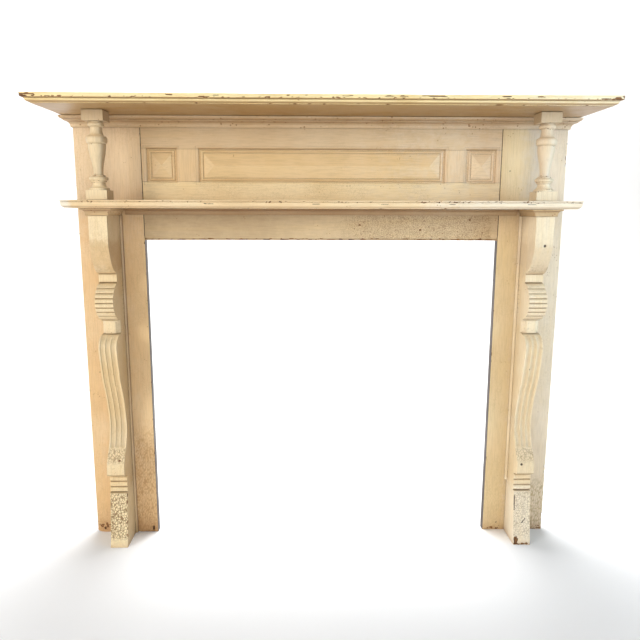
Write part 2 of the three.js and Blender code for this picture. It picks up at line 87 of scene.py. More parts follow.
# Marks seen on the object: places along X, heights, or both
NOSE_CLUSTERS = (-0.725, -0.658, -0.644, -0.510, -0.467, -0.431, -0.300,
                 -0.144, 0.037, 0.183, 0.683, 0.700, 0.720)
SHELF_EDGE_MARKS = (-0.62, -0.41, -0.12, 0.06, 0.27, 0.36, 0.44, 0.56, 0.66)
SHELF_CRACKS = (-0.33, -0.05, 0.13, 0.31, 0.52)
HEADER_CHIPS = ((-0.033, 0.956), (0.109, 0.948), (0.283, 0.934), (0.426, 0.963))
LEFT_PAD_CHIP = (-0.5905, 0.268)
LEFT_FOOT_CHIPS = (0.035, 0.055, 0.075, 0.135, 0.155)
RIGHT_BRACKET_DENTS = ((0.5975, 0.540), (0.6185, 0.384), (0.6043, 0.895), (0.589, 0.253))
LEFT_BOARD_SPOT = (-0.6595, 0.512)
RIGHT_EDGE_CHIPS = (1.137, 1.118, 0.21, 0.19, 0.05, 0.03)
RIGHT_BOARD_SPOTS = ((0.535, 1.102), (0.628, 0.986), (0.649, 0.889), (0.658, 0.480), (0.551, 0.024))

# Bracket profile, measured forward from the boards' face
BRACKET_TOP_DEPTH = 117 * MM
FOOT_DEPTH = 94 * MM
SHIN_DEPTH = 70 * MM
BAND_DEPTH = 61 * MM
BAND_COUNT = 3
BAND_RELIEF = 5 * MM
BAND_GROOVE = 1.6 * MM
ANKLE_PAD_DEPTH = 88 * MM
ANKLE_DEPTH = 40 * MM
CALF_DEPTH = 83 * MM
KNEE_DEPTH = 97 * MM
NECK_DEPTH = 58 * MM
NECK_CHAMFER = 13 * MM
REED_COUNT = 8
REED_RELIEF = 4.5 * MM
BULGE_RISE = 47 * MM
COLLAR_DEPTH = 60 * MM
QUIRK = 2 * MM
FLUTE_COUNT = 3
FLUTE_PITCH = 14.8 * MM
FLUTE_WIDTH = 13.2 * MM
FLUTE_DEPTH = 4.5 * MM

# Heights on the bracket, as shares of its own
BANDS_BOTTOM = 0.1665
BANDS_TOP = 0.219
PAD_BOTTOM = 0.231
FLUTES_BOTTOM = 0.304
NECK_BOTTOM = 0.658
NECK_TOP = 0.6975
REEDS_BOTTOM = 0.7005
REEDS_TOP = 0.8085
COLLAR_BOTTOM = 0.811
COLLAR_TOP = 0.8335
SHOULDER_BOTTOM = 0.836
SHOULDER_TOP = 0.914

# Balusters
PLINTH_HEIGHT = 25 * MM
CAP_BLOCK_HEIGHT = 27 * MM
TURNING_SIDES = 56
TURNING_SINK = 2.5 * MM
FOOT_RADIUS = 26.5 * MM
SCOTIA_RADIUS = 16.5 * MM
FOOT_FILLET_RADIUS = 20.5 * MM
FOOT_BEAD_RADIUS = 24.6 * MM
STEM_COLLAR_RADIUS = 18.3 * MM
STEM_RADIUS = 12.3 * MM
BELLY_RADIUS = 22.8 * MM
SHOULDER_RADIUS = 27.4 * MM
THROAT_RADIUS = 15 * MM
NECK_FILLET_RADIUS = 17.5 * MM
NECK_RING_RADIUS = 21.2 * MM


def srgb(red, green, blue):
    """A colour given as the eye reads it, from 0 to 255, in the renderer's own linear scale."""
    def linear(value):
        value /= 255
        return value / 12.92 if value <= 0.04045 else ((value + 0.055) / 1.055) ** 2.4
    return (linear(red), linear(green), linear(blue), 1.0)


def add_camera():
    ahead = Vector((
        math.sin(CAMERA_YAW) * math.cos(CAMERA_PITCH),
        math.cos(CAMERA_YAW) * math.cos(CAMERA_PITCH),
        -math.sin(CAMERA_PITCH),
    ))
    right = Vector((math.cos(CAMERA_YAW), -math.sin(CAMERA_YAW), 0))
    up = right.cross(ahead)
    rolled_right = right * math.cos(CAMERA_ROLL) + up * math.sin(CAMERA_ROLL)
    rolled_up = up * math.cos(CAMERA_ROLL) - right * math.sin(CAMERA_ROLL)
    turn = Matrix((rolled_right, rolled_up, -ahead)).transposed()
    data = bpy.data.cameras.new("camera")
    data.lens = CAMERA_LENS
    data.sensor_width = SENSOR_WIDTH
    camera = bpy.data.objects.new("camera", data)
    camera.matrix_world = Matrix.Translation(CAMERA_PLACE) @ turn.to_4x4()
    bpy.context.scene.collection.objects.link(camera)
    bpy.context.scene.camera = camera


def add_area_light(name, place, aim, size, energy, colour, spread=180):
    data = bpy.data.lights.new(name, "AREA")
    data.shape = "DISK"
    data.size = size
    data.energy = energy
    data.color = colour
    data.spread = math.radians(spread)
    light = bpy.data.objects.new(name, data)
    light.location = place
    light.rotation_euler = (Vector(aim) - Vector(place)).to_track_quat("-Z", "Y").to_euler()
    bpy.context.scene.collection.objects.link(light)


def add_lights():
    middle = (0, 0.1, 0.75)
    add_area_light("key_light", (-3.0, -2.4, 1.9), middle, 1.6, 74, (0.96, 0.98, 1.0))
    add_area_light("front_light", (0.3, -3.9, 1.4), middle, 2.2, 38, (1.0, 0.93, 0.82))
    add_area_light("right_light", (2.0, -1.0, 1.1), (0.62, 0.05, 0.9), 1.0, 6, (0.50, 0.75, 1.0), 80)
    add_area_light("floor_light", (0, 1.1, 3.2), (0, 1.9, 0), 2.0, 140, (1.0, 1.0, 1.0))
    world = bpy.data.worlds.new("studio")
    world.use_nodes = True
    background = world.node_tree.nodes["Background"]
    background.inputs["Color"].default_value = (1.0, 0.995, 0.985, 1.0)
    background.inputs["Strength"].default_value = 0.30
    bpy.context.scene.world = world
    bpy.context.scene.view_settings.view_transform = "Standard"


def add_floor():
    """A pale floor that turns up in a wide curve behind the object."""
    half_width = 6.0
    front, back, turn_radius, height = -4.0, 2.2, 1.2, 4.0
    steps = 12
    outline = [(front, 0.0), (back - turn_radius, 0.0)]
    for i in range(1, steps + 1):
        angle = math.pi / 2 * i / steps
        y = back - turn_radius + turn_radius * math.sin(angle)
        outline.append((y, turn_radius * (1 - math.cos(angle))))
    outline.append((back, height))
    points = [(x, y, z) for y, z in outline for x in (-half_width, half_width)]
    faces = [(2 * i, 2 * i + 1, 2 * i + 3, 2 * i + 2) for i in range(len(outline) - 1)]
    mesh = bpy.data.meshes.new("floor")
    mesh.from_pydata(points, [], faces)
    mesh.shade_smooth()
    floor = bpy.data.objects.new("floor", mesh)
    bpy.context.scene.collection.objects.link(floor)
    material = bpy.data.materials.new("pale_floor")
    material.use_nodes = True
    shader = material.node_tree.nodes["Principled BSDF"]
    shader.inputs["Base Color"].default_value = (0.86, 0.86, 0.86, 1.0)
    shader.inputs["Roughness"].default_value = 0.85
    shader.inputs["Specular IOR Level"].default_value = 0.2
    floor.data.materials.append(material)


# Noise that gives the same number at the same place every time
def hashed(cells, seed):
    """A fixed number from 0 to 1 for each whole-numbered cell."""
    whole = cells.astype(np.int64).astype(np.uint64)
    mixed = whole[:, 0] * np.uint64(73856093)
    mixed = mixed ^ whole[:, 1] * np.uint64(19349663) ^ whole[:, 2] * np.uint64(83492791)
    mixed = (mixed + np.uint64(seed * 374761393)) & np.uint64(0xFFFFFFFF)
    for shift, factor in ((15, 2246822519), (13, 3266489917)):
        mixed = ((mixed ^ (mixed >> np.uint64(shift))) * np.uint64(factor)) & np.uint64(0xFFFFFFFF)
    return (mixed ^ (mixed >> np.uint64(16))).astype(float) / 0xFFFFFFFF


def noise(points, size, seed, octaves=1):
    """Smooth value noise from -1 to 1, with bumps about as wide as size, which is one length or three."""
    total = np.zeros(len(points))
    reach = 0.0
    for octave in range(octaves):
        strength = 0.5 ** octave
        at = points / (np.asarray(size) * strength)
        base = np.floor(at)
        part = at - base
        part = part * part * (3 - 2 * part)
        for corner in np.ndindex(2, 2, 2):
            weight = np.prod(np.where(corner, part, 1 - part), axis=1)
            total += strength * weight * hashed(base + np.array(corner), seed + 17 * octave)
        reach += strength
    return total / reach * 2 - 1


def cell_border(points, size, seed):
    """How far each point is from the border of two random cells, as a share of a cell."""
    at = points / np.asarray(size)
    base = np.floor(at)
    nearest = np.full(len(points), 9.0)
    second = np.full(len(points), 9.0)
    for step in np.ndindex(3, 3, 3):
        cell = base + np.array(step) - 1
        middle = cell + np.stack([hashed(cell, seed + k) for k in range(3)], axis=1)
        away = np.linalg.norm(at - middle, axis=1)
        second = np.minimum(second, np.maximum(nearest, away))
        nearest = np.minimum(nearest, away)
    return second - nearest


def rise(value, low, high):
    """Goes smoothly from 0 to 1 as value goes from low to high."""
    part = np.clip((value - low) / (high - low), 0, 1)
    return part * part * (3 - 2 * part)


# Meshes as arrays of points and triangles
def find_edges(triangles, count):
    """Each edge once, and for each triangle the numbers of its three edges."""
    pairs = np.sort(triangles[:, [[0, 1], [1, 2], [2, 0]]].reshape(-1, 2), axis=1)
    keys, which = np.unique(pairs[:, 0] * count + pairs[:, 1], return_inverse=True)
    return np.stack([keys // count, keys % count], axis=1), which.reshape(-1, 3)


def refine(points, triangles, wanted, passes=26):
    """Halves the longest edges until none is longer than wanted gives there. Neighbours share points."""
    for _ in range(passes):
        edges, which = find_edges(triangles, len(points))
        length = np.linalg.norm(points[edges[:, 0]] - points[edges[:, 1]], axis=1)
        middles = points[edges].mean(axis=1)
        marked = length > wanted(middles)
        if not marked.any():
            break
        longest = which[np.arange(len(which)), length[which].argmax(axis=1)]
        while True:
            touched = marked[which].any(axis=1) & ~marked[longest]
            if not touched.any():
                break
            marked[longest[touched]] = True
        number = np.full(len(edges), -1)
        number[marked] = len(points) + np.arange(marked.sum())
        points = np.concatenate([points, middles[marked]])
        turn = length[which].argmax(axis=1)[:, None]
        order = (np.arange(3)[None, :] + turn) % 3
        corner = np.take_along_axis(triangles, order, axis=1)
        new = number[np.take_along_axis(which, order, axis=1)]
        a, b, c = corner.T
        ab, bc, ca = new.T
        whole = ab < 0
        pieces = [corner[whole]]
        for first, last, other, side in ((c, a, ab, ca), (b, c, ab, bc)):
            plain = ~whole & (side < 0)
            cut = ~whole & (side >= 0)
            pieces.append(np.stack([first, last, other], axis=1)[plain])
            pieces.append(np.stack([first, side, other], axis=1)[cut])
            pieces.append(np.stack([side, last, other], axis=1)[cut])
        triangles = np.concatenate(pieces)
    return points, triangles


def facing(points, triangles):
    """Each point's mean normal, and how sharp the surface is there, from 0 on a flat to 1 on a fold."""
    a, b, c = (points[triangles[:, i]] for i in range(3))
    face = np.cross(b - a, c - a)
    area = np.linalg.norm(face, axis=1)
    total = np.zeros_like(points)
    weight = np.zeros(len(points))
    for i in range(3):
        weight += np.bincount(triangles[:, i], area, len(points))
        for axis in range(3):
            total[:, axis] += np.bincount(triangles[:, i], face[:, axis], len(points))
    length = np.linalg.norm(total, axis=1)
    normals = total / np.maximum(length, 1e-15)[:, None]
    return normals, 1 - length / np.maximum(weight, 1e-15)


def spread(values, edges, passes, keep):
    """Lets each value reach its neighbours, weaker at each step."""
    for _ in range(passes):
        grown = values.copy()
        np.maximum.at(grown, edges[:, 0], values[edges[:, 1]] * keep)
        np.maximum.at(grown, edges[:, 1], values[edges[:, 0]] * keep)
        values = grown
    return values


def soften(points, edges, amount, passes):
    """Draws each point towards the mean of its neighbours by its own amount."""
    degree = np.bincount(edges.ravel(), minlength=len(points))
    for _ in range(passes):
        total = np.zeros_like(points)
        for axis in range(3):
            total[:, axis] = np.bincount(edges[:, 0], points[edges[:, 1], axis], len(points))
            total[:, axis] += np.bincount(edges[:, 1], points[edges[:, 0], axis], len(points))
        points = points + amount[:, None] * (total / degree[:, None] - points)
    return points


class Worn:
    """A fine mesh that takes wear: round arrises, chips, crackle and dents, kept as attributes too."""

    def __init__(self, points, triangles, seed):
        self.points, self.triangles, self.seed = points, triangles, seed
        self.edges, _ = find_edges(triangles, len(points))
        self.rest = points.copy()
        self.normals, self.sharp = facing(points, triangles)
        self.bare = np.zeros(len(points))
        # Besides crackle and splits, crack also holds rubbed dirt, dirt with painted shade in the bracket's
        # flutes and grooves, and painted shade under the lower shelf
        self.crack = np.zeros(len(points))
        self.dark = np.zeros(len(points))
        self.sink = np.zeros(len(points))

    def near_edges(self, passes=3, keep=0.75):
        return spread((self.sharp > 0.04).astype(float), self.edges, passes, keep)

    def round_arrises(self, amount, passes=2):
        """Wears the arrises round, more in some places than in others."""
        near = spread((self.sharp > 0.04).astype(float), self.edges, 1, 0.6)
        length = np.linalg.norm(self.rest[self.edges[:, 0]] - self.rest[self.edges[:, 1]], axis=1)
        longest = np.zeros(len(self.rest))
        np.maximum.at(longest, self.edges[:, 0], length)
        np.maximum.at(longest, self.edges[:, 1], length)
        near = near * rise(longest, 9 * MM, 5 * MM)
        uneven = 0.65 + 0.35 * noise(self.rest, 38 * MM, self.seed, 2)
        self.points = soften(self.points, self.edges, np.clip(near * amount * uneven, 0, 0.9), passes)

    def chip(self, place, radius, depth, bare=True):
        """One chip: the paint is gone and some of the wood with it."""
        rough = 1 + 0.45 * noise(self.rest, np.asarray(radius) * 0.7, self.seed + 5, 2)
        away = np.linalg.norm((self.rest - np.asarray(place)) / np.asarray(radius), axis=1) / rough
        inside = rise(away, 1.15, 0.75)
        self.sink = np.maximum(self.sink, inside * depth)
        if bare:
            self.bare = np.maximum(self.bare, rise(away, 1.3, 0.7))

    def flakes(self, share, size, depth):
        """Flaked spots of about one size over a share, from 0 to 1, of each place."""
        hit = share > 0.004
        part = np.minimum(share[hit], 0.98)
        level = 0.15 * np.log(part / (1 - part))
        spots = noise(self.rest[hit], size, self.seed + int(1e5 * depth), 2)
        gone = rise(level - spots, -0.06, 0.06)
        self.sink[hit] = np.maximum(self.sink[hit], gone * depth)
        self.bare[hit] = np.maximum(self.bare[hit], gone)

    def crackle(self, strength, size, depth, width=0.30):
        """Alligatored paint: islands with grooves between them; strength is 0 to 1 at each point."""
        hit = strength > 0.02
        if not hit.any():
            return
        at = self.rest[hit]
        drift = np.stack([noise(at, np.asarray(size) * 1.3, self.seed + 20 + k) for k in range(3)], axis=1)
        border = cell_border(at + drift * np.asarray(size) * 0.22, size, self.seed + 30)
        groove = rise(border, width, 0.3 * width) * strength[hit]
        self.crack[hit] = np.maximum(self.crack[hit], groove)
        self.sink[hit] = np.maximum(self.sink[hit], groove * depth)

    def split(self, start, end, width, depth, ragged=0.8):
        """A crack along a line, ragged and uneven in width."""
        start, end = np.asarray(start), np.asarray(end)
        run = end - start
        along = np.clip(((self.rest - start) @ run) / (run @ run), 0, 1)
        away = np.linalg.norm(self.rest - start - along[:, None] * run, axis=1)
        away = away + noise(self.rest, 6 * MM, self.seed + 40, 2) * width * ragged
        line = rise(away, width, width * 0.35)
        self.dark = np.maximum(self.dark, line)
        self.sink = np.maximum(self.sink, line * depth)

    def dent(self, place, radius, depth):
        """A nail hole or a knock, dark at the bottom."""
        away = np.linalg.norm((self.rest - np.asarray(place)) / radius, axis=1)
        hole = rise(away, 1.1, 0.5)
        self.dark = np.maximum(self.dark, hole)
        self.sink = np.maximum(self.sink, hole * depth)

    def undulate(self, size, depth):
        """Slight unevenness of planed and repainted wood, always inwards."""
        self.sink += (noise(self.rest, size, self.seed + 50, 2) * 0.5 + 0.5) * depth

    def build(self, name, paint, slot, nodes, sharp_angle=38):
        points = self.points - self.normals * self.sink[:, None]
        low, high = self.rest.min(axis=0), self.rest.max(axis=0)
        points = np.clip(points, low, high)
        mesh = bpy.data.meshes.new(name)
        mesh.vertices.add(len(points))
        mesh.vertices.foreach_set("co", points.ravel())
        mesh.loops.add(self.triangles.size)
        mesh.loops.foreach_set("vertex_index", self.triangles.ravel())
        mesh.polygons.add(len(self.triangles))
        mesh.polygons.foreach_set("loop_start", np.arange(0, self.triangles.size, 3))
        mesh.update(calc_edges=True)
        for key in ("bare", "crack", "dark"):
            layer = mesh.attributes.new(key, "FLOAT", "POINT")
            layer.data.foreach_set("value", getattr(self, key).astype(np.float32))
        mesh.shade_smooth()
        mesh.set_sharp_from_angle(angle=math.radians(sharp_angle))
        mesh.materials.append(paints[paint])
        piece = bpy.data.objects.new(name, mesh)
        bpy.context.scene.collection.objects.link(piece)
        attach(piece, "root")
        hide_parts(*nodes)
        return piece


def stacked_rings(rings):
    """A closed skin through rings of equal count, first to last; the caps fan from their middles."""
    rows, count, _ = rings.shape
    caps = [rings[0].mean(axis=0), rings[-1].mean(axis=0)]
    points = np.concatenate([rings.reshape(-1, 3), caps])
    row, column = np.meshgrid(np.arange(rows - 1), np.arange(count), indexing="ij")
    a = (row * count + column).ravel()
    b = (row * count + (column + 1) % count).ravel()
    lower = np.stack([a, b, b + count], axis=1)
    upper = np.stack([a, b + count, a + count], axis=1)
    around = np.arange(count)
    onward = (around + 1) % count
    foot = np.stack([onward, around, np.full(count, rows * count)], axis=1)
    top = (rows - 1) * count
    head = np.stack([top + around, top + onward, np.full(count, rows * count + 1)], axis=1)
    return points, np.concatenate([lower, upper, foot, head])


class Shader:
    """Short names for building a material's nodes."""

    def __init__(self, name):
        self.material = bpy.data.materials.new(name)
        self.material.use_nodes = True
        self.tree = self.material.node_tree
        self.tree.nodes.clear()
        self.place = self.add("ShaderNodeTexCoord").outputs["Object"]
        self.axes = self.add("ShaderNodeSeparateXYZ", {"Vector": self.place}).outputs

    def add(self, kind, inputs=None, **settings):
        node = self.tree.nodes.new(kind)
        for key, value in settings.items():
            setattr(node, key, value)
        for key, value in (inputs or {}).items():
            self.join(value, node.inputs[key])
        return node

    def join(self, value, socket):
        if isinstance(value, bpy.types.NodeSocket):
            self.tree.links.new(value, socket)
        else:
            socket.default_value = value

    def scaled(self, x, y, z):
        """The object's own coordinates, each multiplied."""
        return self.add("ShaderNodeMapping", {"Vector": self.place, "Scale": (x, y, z)}).outputs["Vector"]

    def noise(self, scale, detail=3.0, rough=0.55, at=None):
        inputs = {"Vector": at or self.place, "Scale": scale, "Detail": detail, "Roughness": rough}
        return self.add("ShaderNodeTexNoise", inputs).outputs["Fac"]

    def cells(self, scale, at=None, feature="DISTANCE_TO_EDGE"):
        inputs = {"Vector": at or self.place, "Scale": scale}
        return self.add("ShaderNodeTexVoronoi", inputs, feature=feature).outputs["Distance"]

    def math(self, operation, a, b=0.0):
        node = self.add("ShaderNodeMath", operation=operation)
        self.join(a, node.inputs[0])
        self.join(b, node.inputs[1])
        return node.outputs[0]

    def times(self, a, b):
        return self.math("MULTIPLY", a, b)

    def ramp(self, value, low, high, out_low=0.0, out_high=1.0):
        """Goes smoothly from out_low to out_high as value goes from low to high."""
        inputs = {"Value": value, "From Min": low, "From Max": high, "To Min": out_low, "To Max": out_high}
        return self.add("ShaderNodeMapRange", inputs, interpolation_type="SMOOTHSTEP").outputs["Result"]

    def mix(self, share, a, b, blend="MIX"):
        node = self.add("ShaderNodeMix", data_type="RGBA", blend_type=blend)
        self.join(share, node.inputs["Factor"])
        self.join(a, node.inputs[6])
        self.join(b, node.inputs[7])
        return node.outputs[2]

    def attribute(self, name):
        return self.add("ShaderNodeAttribute", attribute_name=name).outputs["Fac"]

    def crevices(self, distance, samples=5):
        """1 in the open, towards 0 in corners narrower than the distance."""
        inputs = {"Distance": distance}
        return self.add("ShaderNodeAmbientOcclusion", inputs, samples=samples).outputs["AO"]


# Colours of the wood, the dirt and the painted shade
BARE_WOOD = srgb(150, 104, 62)
DARK_WOOD = srgb(78, 52, 33)
# Grime in brush marks, and painted shade in narrow corners
GRIME_AND_SHADE = srgb(118, 88, 56)
# Tone of the painted shade under overhangs and in sheltered places
UNDER_SHADE_TONE = srgb(150, 112, 72)
OLIVE_LINE = (142, 116, 76)
OLD_YELLOW = srgb(232, 198, 134)
# Tone of the painted shade on faces turned up
UPWARD_SHADE_TONE = srgb(240, 232, 222)
# Tone of the painted shade for paints that have a shaded side
SIDE_SHADE_TONE = srgb(158, 132, 104)
# Bare wood on the opening's edges, darkened further as painted shade
SHADED_RAW_DARK = srgb(34, 20, 12)
SHADED_RAW_LIGHT = srgb(60, 38, 24)
BACK_DARK = srgb(124, 88, 56)
BACK_LIGHT = srgb(160, 120, 78)
CRACK_DARK = srgb(58, 38, 26)


def wandering(s):
    """Coordinates pushed about a little, so that cracks don't run straight."""
    push = s.add("ShaderNodeTexNoise", {"Vector": s.place, "Scale": 60.0, "Detail": 2.0}).outputs["Color"]
    node = s.add("ShaderNodeMix", data_type="VECTOR")
    node.inputs["Factor"].default_value = 0.010
    s.join(s.place, node.inputs[4])
    s.join(push, node.inputs[5])
    return node.outputs[1]


def old_paint(name, tone, aged, along, crackle=0.3, specks=0.2, shifts=(), shade_under=0.5, line=OLIVE_LINE,
              shaded_side=0, upward_shade=0.0, shaded_raw=None, speck_scale=150.0, bare_back=True):
    """Old oil paint on wood: blotches, brush marks along the grain, crackle, flaked specks, dirt and painted
    shade.

    Colours are as the eye reads them, from 0 to 255. Each of the shifts is an axis, two places along it,
    the colour past the second place, and its strength; some shifts are painted light or shade. The shaded
    side, -1 or 1 along X, is the side whose faces get painted shade; painted shade is also laid under
    overhangs, in sheltered places and on faces turned up. The strip of bare wood on the opening's edges is
    an axis and the distance from the middle within which the wood is bare, darkened further with painted
    shade.
    """
    s = Shader(name)
    tone, aged, line = srgb(*tone), srgb(*aged), srgb(*line)
    stretch = {"X": (0.07, 1, 1), "Z": (1, 1, 0.07)}[along]
    grain_at = s.scaled(*stretch)
    blotches = s.noise(6.0, 4.0, 0.6)
    mottle = s.noise(38.0, 4.0, 0.65)
    brush = s.noise(300.0, 2.0, 0.6, at=grain_at)
    streaks = s.noise(45.0, 3.0, 0.6, at=grain_at)
    fine = s.noise(520.0, 2.0)
    surface_normal = s.add("ShaderNodeNewGeometry").outputs["Normal"]
    normal = s.add("ShaderNodeSeparateXYZ", {"Vector": surface_normal}).outputs

    colour = s.mix(s.ramp(blotches, 0.36, 0.66), tone, aged)
    colour = s.mix(s.ramp(mottle, 0.45, 0.75, 0.0, 0.35), colour, aged)
    for axis, start, end, shift_colour, strength in shifts:
        stray = 0.25 * (end - start)
        reach = s.math("ADD", s.axes[axis], s.ramp(mottle, 0.3, 0.7, -stray, stray))
        reach = s.times(s.ramp(reach, start, end), s.ramp(mottle, 0.3, 0.6, 0.8, 1.0))
        colour = s.mix(s.times(reach, strength), colour, srgb(*shift_colour))
    colour = s.mix(s.ramp(streaks, 0.45, 0.75, 0.0, 0.16), colour, OLD_YELLOW)
    colour = s.mix(s.ramp(brush, 0.3, 0.6, 0.12, 0.0), colour, GRIME_AND_SHADE)

    cells_at = wandering(s)
    patch = s.ramp(s.noise(11.0, 3.0), 0.40, 0.62)
    lines = s.ramp(s.cells(105.0, cells_at), 0.0, 0.055, 1.0, 0.0)
    small_lines = s.ramp(s.cells(290.0, cells_at), 0.0, 0.09, 1.0, 0.0)
    cracks = s.times(s.math("MAXIMUM", lines, s.times(small_lines, 0.7)), patch)
    cracks = s.times(cracks, crackle)
    # The crack attribute also brings in rubbed dirt, and painted shade in flutes, grooves and under the
    # lower shelf
    cracks = s.math("MAXIMUM", cracks, s.attribute("crack"))
    colour = s.mix(s.times(cracks, 0.9), colour, line)

    grains = s.cells(speck_scale, feature="F1")
    keep = s.ramp(s.noise(24.0, 3.0), 0.66 - 0.2 * specks, 0.72 - 0.2 * specks)
    speck = s.times(s.ramp(grains, 0.12, 0.24, 1.0, 0.0), keep)
    colour = s.mix(s.times(speck, 0.85), colour, BARE_WOOD)

    # Grime, with painted shade, in narrow corners
    corner = s.ramp(s.crevices(0.005), 0.25, 0.8, 0.55, 0.0)
    colour = s.mix(s.times(corner, s.ramp(fine, 0.2, 0.7, 0.6, 1.0)), colour, GRIME_AND_SHADE)
    # Painted shade: darker in sheltered places and on faces turned down, and, for a paint with a shaded
    # side, on faces turned to that side
    shelter_shade = s.ramp(s.crevices(0.11), 0.15, 0.95, 0.75 * shade_under, 0.0)
    painted_shade = s.math("MAXIMUM", shelter_shade, s.ramp(normal["Z"], -0.25, -0.9, 0.0, shade_under))
    shade_tone = SIDE_SHADE_TONE if shaded_side else UNDER_SHADE_TONE
    if shaded_side:
        painted_shade = s.math("MAXIMUM", painted_shade, s.ramp(s.times(normal["X"], shaded_side), 0.5, 0.9, 0.0, 0.62))
    colour = s.mix(painted_shade, colour, s.mix(1.0, colour, shade_tone, "MULTIPLY"))
    # Painted shade on faces turned up
    if upward_shade:
        upward_shade_share = s.ramp(normal["Z"], -0.02, 0.14, 0.0, upward_shade)
        colour = s.mix(upward_shade_share, colour, s.mix(1.0, colour, UPWARD_SHADE_TONE, "MULTIPLY"))

    bare = s.math("ADD", s.attribute("bare"), s.ramp(fine, 0.3, 0.7, -0.12, 0.12))
    bare = s.ramp(bare, 0.42, 0.58)
    wood = s.mix(s.ramp(brush, 0.3, 0.7), BARE_WOOD, DARK_WOOD)
    colour = s.mix(bare, colour, wood)
    # Bare wood on the opening's edges, darkened further with painted shade
    if shaded_raw:
        axis, place = shaded_raw
        unpainted_and_shaded = s.ramp(s.math("ABSOLUTE", s.axes[axis]), place, place + 0.0012, 1.0, 0.0)
        colour = s.mix(unpainted_and_shaded, colour, s.mix(s.ramp(streaks, 0.3, 0.7), SHADED_RAW_DARK, SHADED_RAW_LIGHT))
    if bare_back:
        board = s.mix(s.ramp(streaks, 0.3, 0.7), BACK_DARK, BACK_LIGHT)
        board = s.mix(s.ramp(brush, 0.3, 0.7, 0.3, 0.0), board, DARK_WOOD)
        colour = s.mix(s.ramp(normal["Y"], 0.6, 0.85), colour, board)
    hole = s.ramp(s.attribute("dark"), 0.25, 0.7)
    colour = s.mix(s.times(hole, 0.92), colour, CRACK_DARK)

    height = s.math("ADD", s.times(brush, 0.22), s.times(fine, 0.12))
    height = s.math("SUBTRACT", height, s.times(cracks, 1.1))
    height = s.math("SUBTRACT", height, s.math("ADD", speck, bare))
    bump = s.add("ShaderNodeBump", {"Height": height, "Strength": 0.5, "Distance": 0.0005})
    lost_gloss = s.times(s.math("MAXIMUM", speck, bare), 0.3)
    rough = s.math("ADD", s.ramp(blotches, 0.3, 0.7, 0.36, 0.50), lost_gloss)
    surface = s.add("ShaderNodeBsdfPrincipled", {
        "Base Color": colour,
        "Roughness": rough,
        "Normal": bump.outputs["Normal"],
        "Specular IOR Level": 0.4,
    })
    s.add("ShaderNodeOutputMaterial", {"Surface": surface.outputs["BSDF"]})
    return s.material


CAP_BLOCK_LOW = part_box("baluster_left")[1].z - CAP_BLOCK_HEIGHT
CAP_BLOCK_START = CAP_BLOCK_LOW - 3 * MM
CAP_BLOCK_FULL = CAP_BLOCK_LOW + 3 * MM
RUST_STAIN = (186, 132, 84)
# Painted cool light: paler and cooler towards the right
PAINTED_COOL_LIGHT = ("X", 0.05, 0.60, (234, 216, 190), 0.55)
# The opening's edges: bare wood, with painted shade
REVEAL = ("X", OPENING_EDGE + 0.4 * MM)

